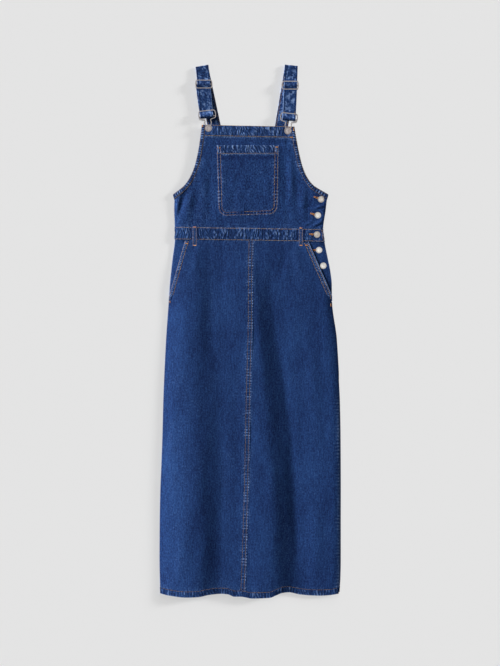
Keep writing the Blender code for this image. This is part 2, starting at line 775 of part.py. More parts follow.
def keyhole(name, tools, location, rise):
    """The cutter of a buttonhole: an eye round the shank, drawn out toward the dress's middle."""
    made = bmesh.new()
    bmesh.ops.create_cone(
        made, cap_ends=True, segments=16, radius1=2.8 * MM, radius2=2.8 * MM, depth=30 * MM
    )
    for vert in made.verts:
        if vert.co.x < -0.5 * MM:
            vert.co.x -= 13.0 * MM
            vert.co.y *= 0.35
            vert.co.y += rise * MM
    mesh = bpy.data.meshes.new(name)
    made.to_mesh(mesh)
    made.free()
    return add(name, mesh, tools, None, location)


def cut(obj, cutter):
    hole = obj.modifiers.new(cutter.name, "BOOLEAN")
    hole.operation = "DIFFERENCE"
    hole.object = cutter


def make_buttons(parts, tools):
    for side, strap in STRAPS.items():
        x, y = strap["button"]
        base = front_rest(x, y) + BAND + GAP
        button("bib_button_" + side, parts, placed(x, y, 0.0), base, CLASP_Z + WIRE + GAP, BIB_BUTTON)

    layers = {  # the piece that each side button goes through, and the height of its top
        "front_bodice": lambda x, y: front_rest(x, y) + CLOTH,
        "waistband_front": lambda x, y: front_rest(x, y) + TURNED,
        "hip_piece_right": lambda x, y: front_rest(x, y) - GAP,
    }
    through = ("front_bodice", "front_bodice", "waistband_front", "hip_piece_right", "hip_piece_right")
    for number, ((x, y, rise), piece) in enumerate(zip(SIDE_BUTTONS, through), 1):
        head = head_height(x, y, SIDE_BUTTON, layers[piece])
        button(f"side_button_{number}", parts, laid(x, y, 0.0), 2 * (CLOTH + GAP), head, SIDE_BUTTON)
        cut(bpy.data.objects[piece], keyhole(f"buttonhole_{number}", tools, laid(x, y, 5.0), rise))


def main():
    for obj in list(bpy.data.objects):
        bpy.data.objects.remove(obj, do_unlink=True)
    scene = bpy.context.scene
    parts = bpy.data.collections.new("overall_dress")
    tools = bpy.data.collections.new("cutters")
    scene.collection.children.link(parts)
    scene.collection.children.link(tools)

    make_skirt(parts)
    make_waist(parts)
    make_bib(parts)
    for side in ("left", "right"):
        make_hip_pocket(parts, side)
        make_armhole_hem(parts, side)
        make_belt_loop(parts, side, *BELT_LOOPS[side])
    make_bib_pocket(parts)
    make_back_bodice(parts)
    make_side_placket(parts)
    make_straps(parts, tools)
    make_buttons(parts, tools)

    for tool in tools.objects:
        tool.hide_render = True
        tool.display_type = "WIRE"
    dress = bpy.data.objects.new("dress", None)
    parts.objects.link(dress)
    for obj in parts.objects:
        if obj is not dress:
            obj.parent = dress


if __name__ == "__main__":
    main()
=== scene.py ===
"""The looks of an overall dress in indigo denim, which lies flat on its back with its straps up.

Lengths in the tables are millimetres: x across the dress, y from the hem to the straps, and z up from the
floor. Form.place turns a point of the pattern into a point of the part's frame, in metres, with the waves
of the hem and the slants of the waist and the bib.
"""

import logging  # noqa: E402
import math  # noqa: E402
from dataclasses import dataclass, field  # noqa: E402
from enum import Enum  # noqa: E402
from typing import Callable, Sequence  # noqa: E402

import bmesh  # noqa: E402
import bpy  # noqa: E402
import numpy as np  # noqa: E402
from mathutils import Matrix, Vector  # noqa: E402

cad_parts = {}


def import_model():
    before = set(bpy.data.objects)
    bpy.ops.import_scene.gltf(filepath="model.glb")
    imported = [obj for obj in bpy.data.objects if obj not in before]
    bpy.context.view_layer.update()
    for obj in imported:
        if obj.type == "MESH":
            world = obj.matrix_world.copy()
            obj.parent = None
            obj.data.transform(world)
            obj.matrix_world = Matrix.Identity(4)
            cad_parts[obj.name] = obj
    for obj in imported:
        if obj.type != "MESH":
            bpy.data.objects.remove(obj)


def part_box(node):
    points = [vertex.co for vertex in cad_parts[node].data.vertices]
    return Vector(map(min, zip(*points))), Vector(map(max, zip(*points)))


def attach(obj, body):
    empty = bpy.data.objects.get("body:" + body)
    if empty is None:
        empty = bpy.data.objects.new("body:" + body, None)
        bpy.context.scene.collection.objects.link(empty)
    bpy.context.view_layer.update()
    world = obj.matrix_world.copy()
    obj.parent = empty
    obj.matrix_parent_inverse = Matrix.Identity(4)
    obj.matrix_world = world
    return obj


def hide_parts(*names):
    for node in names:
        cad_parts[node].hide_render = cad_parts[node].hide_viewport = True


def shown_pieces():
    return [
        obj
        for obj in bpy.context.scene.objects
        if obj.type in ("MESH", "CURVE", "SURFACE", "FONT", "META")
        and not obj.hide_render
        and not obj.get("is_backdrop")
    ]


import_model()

LOG = logging.getLogger("overall_dress")
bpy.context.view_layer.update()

# An Edge takes y, a Field the pattern's x and y, and an Outline turns fractions across and up into those.
# A Relief takes fractions and the pattern's x and y, and gives the rise in millimetres and the tint: paler
# where worn, and on some pieces painted shade and highlight.
Array = np.ndarray
Arrays = tuple[Array, Array]
Pair = tuple[float, float]
Edge = Callable[[Array], Array]
Field = Callable[[Array, Array], Array]
Outline = Callable[[Array, Array], Arrays]
Relief = Callable[[Array, Array, Array, Array], Arrays]

MM = 0.001
GAP = 0.3  # between pieces that meet
CLOTH = 1.2  # one layer of denim
TURNED = 2.0  # a turned edge, the waistband and the straps
BAND = 2.2  # the bib's top band
FELLED = 1.8  # the centre seam
EDGE_CLOTH = 1.6  # pocket mouths and belt loops
THREAD_LIFT = 0.12  # a line of stitches above its cloth
TACK_LIFT, STRIP_TACK_LIFT = 0.3, 0.25  # a bar tack above its cloth, and above a narrow strip

UNFADED, WORN_OUT = -0.3, 1.0  # the limits of wear

HEM_Y, HEM_DEPTH = -616.0, 14.4
WAIST_LOW, WAIST_TOP = 212.0, 242.0
UNDERARM_Y, BAND_LOW, BIB_TOP, BACK_TOP = 317.5, 455.0, 481.0, 398.0


class Side(Enum):
    """A side of the dress, as it lies in view."""

    LEFT = "left"
    RIGHT = "right"

    @property
    def inward(self) -> int:
        """Which way x runs from this side toward the middle."""
        return 1 if self is Side.LEFT else -1


class Table:
    """Named columns of measurements against height, read on a curve that never overshoots its rows."""

    def __init__(self, names: str, rows: Sequence[Sequence[float]]) -> None:
        """Reads the rows.

        Args:
            names: The columns' names, of which the first is the height.
            rows: The measurements, from the lowest row to the highest.
        """
        columns = np.array(rows, float).T
        self.heights = columns[0]
        self.columns = dict(zip(names.split()[1:], columns[1:]))
        self.slopes = {name: self._slopes_of(column) for name, column in self.columns.items()}

    def _slopes_of(self, column: Array) -> Array:
        """The curve's slope at each row of a column."""
        rise = np.diff(column) / np.diff(self.heights)
        slopes = np.concatenate(([rise[0]], np.zeros(len(rise) - 1), [rise[-1]]))
        same_way = rise[:-1] * rise[1:] > 0
        pairs = np.where(same_way, rise[:-1] + rise[1:], 1.0)
        slopes[1:-1] = np.where(same_way, 2 * rise[:-1] * rise[1:] / pairs, 0.0)
        return slopes

    def at(self, name: str, height: Array | float) -> Array:
        """The named column's values at some heights."""
        height = np.clip(height, self.heights[0], self.heights[-1])
        row = np.clip(np.searchsorted(self.heights, height, side="right") - 1, 0, len(self.heights) - 2)
        step = self.heights[row + 1] - self.heights[row]
        s = (height - self.heights[row]) / step
        column, slopes = self.columns[name], self.slopes[name]
        value = column[row] * (1 + 2 * s) * (1 - s) ** 2 + column[row + 1] * s * s * (3 - 2 * s)
        return value + step * (slopes[row] * s * (1 - s) ** 2 - slopes[row + 1] * s * s * (1 - s))


class Unevenness:
    """Smooth seeded noise over a plane, from -1 to 1, which repeats every 61 across and 67 up."""

    SIZE = (61, 67)

    def __init__(self, seed: int) -> None:
        """Draws the noise's lattice from a seed."""
        self.lattice = np.random.default_rng(seed).uniform(-1, 1, self.SIZE)

    def at(self, x: Array, y: Array) -> Array:
        """The noise at some places, whose features are about 1 across."""
        x, y = np.broadcast_arrays(np.asarray(x, float), np.asarray(y, float))
        column, row = np.floor(x).astype(int), np.floor(y).astype(int)
        s, t = (f * f * (3 - 2 * f) for f in (x - column, y - row))
        across, up = self.SIZE
        corner = [self.lattice[(column + i) % across, (row + j) % up] for j in (0, 1) for i in (0, 1)]
        low, high = corner[0] * (1 - s) + corner[1] * s, corner[2] * (1 - s) + corner[3] * s
        return low * (1 - t) + high * t


def ramp(value: Array | float, start: float, end: float) -> Array:
    """0 before start, 1 past end, and a smooth rise between them."""
    s = np.clip((value - start) / (end - start), 0.0, 1.0)
    return s * s * (3 - 2 * s)


def bell(off: Array, width: float) -> Array:
    """1 at 0, and next to nothing beyond two widths on either side."""
    return np.exp(-((off / width) ** 2))


def fading(off: Array, reach: float) -> Array:
    """1 at 0, and next to nothing beyond four reaches on either side."""
    return np.exp(-np.abs(off) / reach)


def bezier(controls: Sequence[float], t: Array | float) -> Array:
    """The cubic Bezier value of four numbers."""
    a, b, c, d = controls
    return a * (1 - t) ** 3 + 3 * b * t * (1 - t) ** 2 + 3 * c * t * t * (1 - t) + d * t**3


class Form:
    """The laid dress's shape: its outline, and how high its front lies, over the pattern's x and y."""

    MIDDLE_X, MIDDLE_Y = 0.47, 0.49
    SIDES = Table(
        "y left right",
        (
            (-616, -210.4, 209.9), (-577, -211.4, 212.3), (-540, -212.1, 213), (-446, -211.6, 213),
            (-381, -210.5, 213.1), (-325, -208.3, 213), (-250, -205.5, 212.6), (-161, -203.2, 210.9),
            (-20, -196.8, 203.8), (73, -190.3, 192.3), (110, -188, 192), (143, -184.6, 188.4),
            (167, -181.8, 183.8), (213, -176.3, 174.8), (242, -176, 171.2), (284, -177.3, 177),
            (307, -176.8, 180), (317.5, -180.2, 183.2),
        ),
    )
    # Bezier controls, from the bib's or the back's top down to the underarm.
    ARMHOLE = {
        "y": (481.0, 364.0, 348.0, 317.5),
        "left": (-113.0, -125.0, -143.0, -180.2),
        "right": (103.7, 123.1, 128.9, 183.2),
        "inward_y": (0.0, -0.12, -0.64, -1.17),
        "inward_x": (1.0, 1.05, 0.98, 0.34),
    }
    BACK_ARMHOLE = {
        "y": (398.0, 360.0, 325.0, 314.0),
        "left": (-84.0, -95.0, -120.0, -176.5),
        "right": (80.0, 92.0, 120.0, 180.0),
    }
    # How high the front's underside lies: its edges, and a crest a, valley v, crest b, trough t and crest c
    # between them. Crests a and c are placed from the edges, and the rest by their x.
    SECTIONS = Table(
        "y left_z a_in a_z v_x v_z b_x b_z t_x t_z c_in c_z right_z",
        (
            (-620, 1.5, 88, 15, -65, 8.6, 46, 12, 113, 2.2, 46, 4, 1.5),
            (-420, 1.5, 86, 15.5, -65, 8.5, 45, 12.5, 111, 2.4, 42, 4.9, 1.5),
            (-190, 1.5, 76, 13, -60, 8, 32, 10.5, 90, 2.8, 45, 4.4, 1.5),
            (0, 1.5, 68, 11.5, -84, 7.5, 16, 9.8, 62, 3.2, 60, 4.2, 1.5),
            (60, 1.5, 66, 10.6, -85, 7, 12, 9.2, 56, 3.6, 62, 4.6, 1.5),
            (84, 3, 64, 10, -85, 6.6, 10, 8.8, 53, 3.9, 62, 4.9, 3.2),
            (135, 3, 56, 8.5, -85, 5.6, 6, 7.4, 48, 4.3, 60, 5.2, 4.5),
            (205, 3, 34, 5.2, -80, 5, 5, 5.4, 48, 5, 45, 5.2, 4.5),
            (242, 1.6, 20, 5, -75, 5, 5, 5, 50, 5, 16, 5, 4.4),
            (300, 1.6, 18, 5, -75, 5, 5, 5, 50, 5, 12, 5, 4.5),
            (335, 4.1, 14, 5, -60, 5, 5, 5, 50, 5, 8, 5, 4.5),
            (481, 4.4, 14, 5, -60, 5, 0, 5, 50, 5, 8, 5, 4.6),
        ),
    )
    HEM_WAVE = Table(
        "x rise",
        (
            (-211, 2.2), (-192, -1.8), (-150, -5.6), (-122, -4.4), (-94, 0.5), (-68, 2.2), (-52, 1),
            (-36, -4.5), (-22, -4.4), (6, -8.3), (30, -7.6), (47, -6.4), (61, -0.9), (75, 4), (89, 5),
            (117, -0.6), (145, -2.7), (164, -3.1), (187, -1.7), (213, 2.4),
        ),
    )
    CENTRE_LINE = Table(
        "y x",
        (
            (-616, -17.7), (-500, -13.6), (-360, -9.1), (-208, -6.2), (-91, -3.2), (15, -0.4), (131, 0.5),
            (212, 1.4),
        ),
    )
    # From the first height down to the second, the right side seam turns to the front.
    SEAM_TURNS = (-90.0, -170.0)

    def __init__(self) -> None:
        """Measures the armholes once."""
        steps = np.linspace(1.0, 0.0, 241)
        self.armholes = {side: self.armhole(side, steps, 0.0) for side in Side}
        left_x, left_y = self.armholes[Side.LEFT]
        lengths = np.concatenate(([0.0], np.cumsum(np.hypot(np.diff(left_x), np.diff(left_y)))))
        self.armhole_length = float(lengths[-1])
        self._steps, self._lengths = steps, lengths

    def tilt(self, x: Array | float, y: Array | float) -> Array:
        """How far the hem's waves and the slants of waist and bib shift the cloth up at a place."""
        hem = ramp(y, -480.0, HEM_Y) * self.HEM_WAVE.at("rise", x)
        waist = -0.0155 * x * ramp(y, 90.0, 200.0) * ramp(y, 305.0, 250.0)
        underarms = (2.4 * ramp(x, -154.0, -174.0) + 2.4 * ramp(x, 148.0, 168.0)) * ramp(y, 296.0, 316.0)
        return hem + waist - 0.0195 * x * ramp(y, 330.0, 450.0) + underarms

    def place(self, x: Array, y: Array, z: Array) -> Array:
        """Points of the pattern in the part's frame, in metres, one row each."""
        return self.straight(x, y + self.tilt(x, y), z)

    def straight(self, x: Array, y: Array, z: Array) -> Array:
        """Points that are not on the pattern, such as the straps', in the part's frame."""
        return np.stack(np.broadcast_arrays(x - self.MIDDLE_X, y - self.MIDDLE_Y, z), axis=-1) * MM

    def pattern(self, point: Vector) -> Pair:
        """The pattern's x and y of a point of the part's frame."""
        x, y = point.x / MM + self.MIDDLE_X, point.y / MM + self.MIDDLE_Y
        guess = y - float(self.tilt(x, y))
        return x, y - float(self.tilt(x, guess))

    def armhole(self, side: Side, t: Array | float, inset: Array | float) -> Arrays:
        """Points of an armhole, from the bib's top at 0 to the underarm at 1, moved inwards."""
        x = bezier(self.ARMHOLE[side.value], t) + side.inward * inset * bezier(self.ARMHOLE["inward_x"], t)
        return x, bezier(self.ARMHOLE["y"], t) + inset * bezier(self.ARMHOLE["inward_y"], t)

    def armhole_step(self, y: float, inset: float = 0.0) -> float:
        """Where along the armhole it reaches a height."""
        return float(np.interp(y, self.armhole(Side.LEFT, self._steps, inset)[1], self._steps))

    def armhole_share(self, share: Array) -> Array:
        """The armhole's step at an even share of its length, from the underarm up."""
        return np.interp(share * self.armhole_length, self._lengths, self._steps)

    def outline(self, side: Side, y: Array | float) -> Array:
        """The front's outline on one side: the side seam, then the armhole."""
        across, heights = self.armholes[side]
        seam, hole = self.SIDES.at(side.value, y), np.interp(y, heights, across)
        return np.where(np.asarray(y) <= UNDERARM_Y, seam, hole)

    def back_edge(self, side: Side, y: Array) -> Array:
        """The back's outer edge, hidden under the front but for a sliver below the side opening."""
        hidden = 0.9 if side is Side.LEFT else 0.9 * ramp(y, *self.SEAM_TURNS[::-1])
        return self.outline(side, y) + side.inward * hidden

    def front_edge(self, side: Side, y: Array) -> Array:
        """The skirt front's edge, which lies just inside the back's low on the right."""
        inside = 0.0 if side is Side.LEFT else 3.0 * ramp(y, *self.SEAM_TURNS)
        return self.outline(side, y) - inside

    def front(self, x: Array | float, y: Array | float) -> Array:
        """How high the front's underside lies."""
        x, y = np.broadcast_arrays(np.asarray(x, float), np.asarray(y, float))
        row = {name: self.SECTIONS.at(name, y) for name in self.SECTIONS.columns}
        left, right = self.outline(Side.LEFT, y), self.outline(Side.RIGHT, y)
        knots = (left, left + row["a_in"], row["v_x"], row["b_x"], row["t_x"], right - row["c_in"], right)
        heights = tuple(row[name] for name in ("left_z", "a_z", "v_z", "b_z", "t_z", "c_z", "right_z"))
        z = heights[0]
        for span in range(6):
            s = np.clip((x - knots[span]) / (knots[span + 1] - knots[span]), 0.0, 1.0)
            eased = 1 - (1 - s) ** 2 if span == 0 else s**8 if span == 5 else s * s * (3 - 2 * s)
            z = np.where(x >= knots[span], heights[span] + (heights[span + 1] - heights[span]) * eased, z)
        return z


FORM = Form()
SOFT, FINE, BROAD = Unevenness(3), Unevenness(11), Unevenness(29)


@dataclass(frozen=True)
class Crease:
    """A fold in the cloth between two places of the pattern; its height is below 0 in a valley."""

    start: Pair
    end: Pair
    width: float
    height: float

    def rise(self, x: Array, y: Array) -> Array:
        """How far it lifts the cloth at some places."""
        along = np.subtract(self.end, self.start)
        share = ((x - self.start[0]) * along[0] + (y - self.start[1]) * along[1]) / along.dot(along)
        held = np.clip(share, 0.0, 1.0)
        off = np.hypot(x - self.start[0] - held * along[0], y - self.start[1] - held * along[1])
        return self.height * bell(off, self.width) * np.sin(np.pi * np.clip(held, 0.04, 0.96))


def creases_of(*rows: Sequence[float]) -> tuple[Crease, ...]:
    """Creases from rows of the start's x and y, the end's x and y, the width and the height."""
    return tuple(Crease(row[:2], row[2:4], *row[4:]) for row in rows)


def away_from(places: Sequence, x: Array, y: Array, near: float, far: float) -> Array:
    """0 nearer than a distance to any of the places, 1 beyond a longer one, and smooth between."""
    calm = np.ones(np.shape(x))
    for place_x, place_y in places:
        calm = calm * ramp(np.hypot(x - place_x, y - place_y), near, far)
    return calm


def rise_of(creases: Sequence[Crease], x: Array, y: Array) -> Array:
    """How far a set of creases lifts the cloth at some places."""
    return sum((crease.rise(x, y) for crease in creases), np.zeros(np.shape(x)))


@dataclass(frozen=True)
class Puckers:
    """How a stitched strip draws up: sunk lines of stitches, and worn ridges across between them.

    Attributes:
        width: The strip's width.
        lines: How far from its first edge each line of stitches runs.
        pitch: The way from one ridge to the next.
        slant: How far the ridges lean along the strip for each millimetre across it.
        ridge: How high they rise, ridge_wear how worn, crest how sharp and wander how uneven they are.
        marble: How high the cloth rises along fine cracks, and marble_wear how worn it is there.
        stroke: The size of uneven patches, along and across.
        strokes: How high the patches rise, and strokes_wear how worn they are.
        base: How worn the rest is, and seam_dark how much less it is on the lines of stitches.
        worn_edges: How worn the first and the last edge are, and edge_reach how far in it fades.
        phase: A shift of the unevenness, so that two strips differ.
    """

    width: float
    lines: tuple[float, ...]
    pitch: float = 5.0
    slant: float = -0.5
    ridge: float = 0.6
    ridge_wear: float = 1.0
    crest: float = 1.0
    wander: float = 0.35
    marble: float = 0.0
    marble_wear: float = 0.0
    stroke: Pair = (3.2, 9.0)
    strokes: float = 0.0
    strokes_wear: float = 0.0
    base: float = -0.06
    seam_dark: float = 0.2
    worn_edges: Pair = (0.5, 0.0)
    edge_reach: float = 1.1
    phase: float = 0.0

    def at(self, along: Array, across: Array) -> Arrays:
        """Measures some places of the strip.

        Args:
            along: Millimetres along the strip.
            across: Millimetres from its first edge.

        Returns:
            The rise in millimetres, and how worn it is, from UNFADED to WORN_OUT.
        """
        sunk = sum((bell(across - line, 0.95) for line in self.lines), np.zeros(np.shape(across)))
        pillow = np.clip(1.0 - sunk, 0.0, 1.0)
        lean = self.slant + 0.9 * self.wander * SOFT.at(along / 34.0 + self.phase, 0.5)
        wobble = SOFT.at(along / 15.0 + self.phase, across / 13.0) + 0.4 * FINE.at(along / 7.0, across / 6.0)
        turn = 2 * np.pi * ((along + lean * across) / self.pitch + self.wander * wobble)
        uneven = np.clip(0.75 + 0.45 * FINE.at(along / 9.0 + self.phase, across / 14.0), 0.15, 1.0)
        ridges = (0.5 + 0.5 * np.cos(turn)) ** self.crest * uneven
        threads = np.abs(FINE.at((along + 0.5 * across) / 3.9 + self.phase, across / 12.0))
        cracks = np.abs(SOFT.at((along - 0.7 * across) / 5.3 + self.phase, across / 10.0 + 7.0))
        marble = 0.62 * bell(threads, 0.13) + 0.55 * bell(cracks, 0.1)
        stroke_along, stroke_across = self.stroke
        strokes = 0.8 * FINE.at((along + lean * across) / stroke_along + self.phase, across / stroke_across)
        longer = SOFT.at(along / stroke_along / 2.2, across / stroke_across / 1.6 + self.phase)
        strokes = np.clip(0.45 + (strokes + 0.5 * longer), 0.0, 1.0)
        first, last = (fading(across - edge, self.edge_reach) for edge in (0.0, self.width))
        edge_wear = self.worn_edges[0] * first + self.worn_edges[1] * last
        rise = pillow * (0.1 + self.ridge * ridges + self.marble * marble + self.strokes * strokes)
        wear = self.base + self.ridge_wear * ridges**1.5 + self.marble_wear * marble
        wear = wear + self.strokes_wear * strokes**1.5
        return rise, np.clip(pillow * wear + edge_wear - self.seam_dark * sunk, UNFADED, WORN_OUT)


def fringe(along: Array, off: Array, reach: float = 5.0, pitch: float = 6.4) -> Array:
    """Ridges that a seam draws in the cloth beside it.

    Args:
        along: Millimetres along the seam.
        off: Millimetres from it.
        reach: How far out the ridges fade.
        pitch: The way from one ridge to the next.

    Returns:
        The ridges, from 0 to 1.
    """
    turn = 2 * np.pi * ((along + 0.45 * off) / pitch + 0.5 * SOFT.at(along / 17.0, off / 12.0))
    uneven = np.clip(0.6 + 0.6 * FINE.at(along / 11.0, 3.0), 0.1, 1.0)
    return np.exp(-np.maximum(off, 0.0) / reach) * (0.5 + 0.5 * np.cos(turn)) ** 1.5 * uneven * (off > -1.0)


# --- Finishes ---


def hue(red: int, green: int, blue: int) -> tuple[float, float, float, float]:
    """A display colour, each part from 0 to 255, as the linear colour that a shader takes."""
    parts = [c / 255 for c in (red, green, blue)]
    return (*(c / 12.92 if c <= 0.04045 else ((c + 0.055) / 1.055) ** 2.4 for c in parts), 1.0)


class Graph:
    """A material's or world's node tree, and the one way that nodes are added to it."""

    def __init__(self, owner: bpy.types.Material | bpy.types.World) -> None:
        """Clears the owner's tree."""
        owner.use_nodes = True
        self.tree = owner.node_tree
        self.tree.nodes.clear()

    def node(self, kind: str, settings: dict | None = None, inputs: dict | None = None) -> bpy.types.Node:
        """Adds a node.

        Args:
            kind: The node's type.
            settings: Its own settings, which are made first.
            inputs: A value or a link for each of its sockets, by name or number.

        Returns:
            The node.
        """
        made = self.tree.nodes.new(kind)
        for name, setting in (settings or {}).items():
            setattr(made, name, setting)
        for key, value in (inputs or {}).items():
            source = value.socket if isinstance(value, Value) else value
            if isinstance(source, bpy.types.NodeSocket):
                self.tree.links.new(source, made.inputs[key])
            else:
                made.inputs[key].default_value = source
        return made

    def noise(self, place: object, scale: tuple[float, float, float], detail: float = 2.0) -> "Value":
        """Noise from 0 to 1 over a place stretched by a scale, in features per metre."""
        spread = self.node("ShaderNodeVectorMath", {"operation": "MULTIPLY"}, {0: place, 1: scale}).outputs[0]
        made = self.node("ShaderNodeTexNoise", {}, {"Vector": spread, "Scale": 1.0, "Detail": detail})
        return Value(self, made.outputs[0])

    def mix(self, first: object, second: object, factor: object) -> bpy.types.NodeSocket:
        """A colour between two colours."""
        return self.node("ShaderNodeMix", {"data_type": "RGBA"}, {0: factor, 6: first, 7: second}).outputs[2]

    def bump(self, height: "Value", distance: float, strength: float) -> bpy.types.NodeSocket:
        """The normal of a surface with a relief of that distance in metres."""
        inputs = {"Strength": strength, "Distance": distance, "Height": height}
        return self.node("ShaderNodeBump", {}, inputs).outputs["Normal"]

    def surface(self, inputs: dict) -> None:
        """Ends a material with a Principled shader."""
        shader = self.node("ShaderNodeBsdfPrincipled", {}, inputs)
        self.node("ShaderNodeOutputMaterial", {}, {"Surface": shader.outputs[0]})


class Value:
    """A number socket whose arithmetic adds Math nodes."""

    def __init__(self, graph: Graph, socket: bpy.types.NodeSocket) -> None:
        """Wraps a socket of a graph."""
        self.graph, self.socket = graph, socket

    def _math(self, operation: str, first: object, second: object = 0.0, clamp: bool = False) -> "Value":
        """A Math node's result."""
        settings = {"operation": operation, "use_clamp": clamp}
        made = self.graph.node("ShaderNodeMath", settings, {0: first, 1: second})
        return Value(self.graph, made.outputs[0])

    def __add__(self, other: object) -> "Value":
        """The sum."""
        return self._math("ADD", self, other)

    def __sub__(self, other: object) -> "Value":
        """The difference."""
        return self._math("SUBTRACT", self, other)

    def __mul__(self, other: object) -> "Value":
        """The product."""
        return self._math("MULTIPLY", self, other)

    __radd__, __rmul__ = __add__, __mul__

    def sine(self) -> "Value":
        """The sine."""
        return self._math("SINE", self)

    def clamped(self) -> "Value":
        """The value kept from 0 to 1."""
        return self._math("ADD", self, 0.0, clamp=True)

    def step(self, start: float, end: float) -> "Value":
        """0 below start, 1 above end, and a smooth rise between them."""
        inputs = {0: self, 1: start, 2: end, 3: 0.0, 4: 1.0}
        made = self.graph.node("ShaderNodeMapRange", {"interpolation_type": "SMOOTHSTEP"}, inputs)
        return Value(self.graph, made.outputs[0])


@dataclass(frozen=True)
class DenimFinish:
    """Washed indigo twill: diagonal ribs, uneven yarns, cloudy dye, and the mesh's tint, paler where worn,
    which also carries painted shadows and painted highlights.
    """

    name: str
    deep: tuple = hue(8, 27, 70)
    mid: tuple = hue(38, 73, 128)
    pale: tuple = hue(112, 136, 176)
    grain: float = 1.35
    rib: float = 0.00085  # from one twill rib to the next, in metres

    def draw(self, graph: Graph) -> None:
        """Draws the material."""
        place = graph.node("ShaderNodeUVMap", {"uv_map": "cloth"}).outputs[0]
        split = graph.node("ShaderNodeSeparateXYZ", {}, {0: place})
        across, up = (Value(graph, split.outputs[i]) for i in (0, 1))
        yarns = graph.noise(place, (900.0, 55.0, 1.0), 1.0)
        streaks = graph.noise(place, (280.0, 42.0, 1.0), 2.0)
        grain = graph.noise(place, (340.0, 230.0, 1.0), 3.0)
        speckle = graph.noise(place, (1100.0, 800.0, 1.0), 1.0)
        cloud = graph.noise(place, (15.0, 8.0, 1.0), 2.0)
        turn = (across * 0.87 + up * 0.5) * (math.tau / self.rib) + yarns * 3.0
        ribs = turn.sine() * 0.5 + 0.5
        weft = ((up * 0.9 - across * 0.35) * (math.tau / (self.rib * 0.8)) + speckle * 4.0).sine() * 0.5 + 0.5
        twill = ribs * (weft * 0.4 + 0.6)

        # The mesh's tint: paler where worn, and on some pieces painted shadows and painted highlights, which
        # darken and lighten the dye mix and the pale mix below.
        wear = Value(graph, graph.node("ShaderNodeAttribute", {"attribute_name": "wear"}).outputs["Fac"])
        dye = 0.41 + (yarns - 0.5) * 0.7 + (streaks - 0.5) * 0.7 + (grain - 0.5) * self.grain
        dye = dye + (cloud - 0.5) * 0.6 + (speckle - 0.5) * 0.9 + (twill - 0.4) * 0.25 + (wear - 0.2) * 0.9
        worn = (wear + (grain - 0.5) * 0.7 + (speckle - 0.5) * 0.6).step(0.25, 1.1)
        colour = graph.mix(graph.mix(self.deep, self.mid, dye.clamped()), self.pale, worn)
        relief = twill * 0.6 + yarns * 0.5 + grain * 0.7
        graph.surface(
            {
                "Base Color": colour,
                "Roughness": 0.8 + grain * 0.15,
                "Specular IOR Level": 0.12,
                "Normal": graph.bump(relief, 0.0004, 0.5),
            }
        )


@dataclass(frozen=True)
class ThreadFinish:
    """Twisted topstitch thread."""

    name: str
    light: tuple
    dark: tuple

    def draw(self, graph: Graph) -> None:
        """Draws the material."""
        place = graph.node("ShaderNodeTexCoord").outputs["Object"]
        tone = graph.noise(place, (420.0, 420.0, 420.0), 2.0)
        split = graph.node("ShaderNodeSeparateXYZ", {}, {0: place})
        x, y = (Value(graph, split.outputs[i]) for i in (0, 1))
        twist = ((x + y) * (math.tau / 0.0006)).sine() * 0.5 + 0.5
        graph.surface(
            {
                "Base Color": graph.mix(self.dark, self.light, tone.step(0.3, 0.7)),
                "Roughness": 0.62 + tone * 0.2,
                "Normal": graph.bump(twist + tone, 0.0001, 0.6),
            }
        )


@dataclass(frozen=True)
class NickelFinish:
    """Tumbled nickel with a faint brush and dull spots."""

    name: str
    bright: tuple
    dull: tuple

    def draw(self, graph: Graph) -> None:
        """Draws the material."""
        place = graph.node("ShaderNodeTexCoord").outputs["Object"]
        brushed = graph.noise(place, (2600.0, 320.0, 320.0), 2.0)
        spots = graph.noise(place, (260.0, 260.0, 260.0), 3.0)
        graph.surface(
            {
                "Base Color": graph.mix(self.dull, self.bright, spots.step(0.25, 0.7)),
                "Metallic": 1.0,
                "Roughness": 0.24 + brushed * 0.18 + spots * 0.08,
                "Normal": graph.bump(brushed, 0.00004, 0.4),
            }
        )


@dataclass(frozen=True)
class FloorFinish:
    """Plain pale board."""

    name: str
    tone: float = 0.80

    def draw(self, graph: Graph) -> None:
        """Draws the material."""
        place = graph.node("ShaderNodeTexCoord").outputs["Object"]
        mottle = graph.noise(place, (6.0, 6.0, 6.0), 1.0)
        first, second = ((self.tone * k, self.tone * k, self.tone * k, 1.0) for k in (0.998, 1.002))
        graph.surface({"Base Color": graph.mix(first, second, mottle), "Roughness": 0.95})


def material_of(finish: DenimFinish | ThreadFinish | NickelFinish | FloorFinish) -> bpy.types.Material:
    """A finish's material, made once."""
    made = bpy.data.materials.get(finish.name)
    if made is None:
        made = bpy.data.materials.new(finish.name)
        finish.draw(Graph(made))
    return made


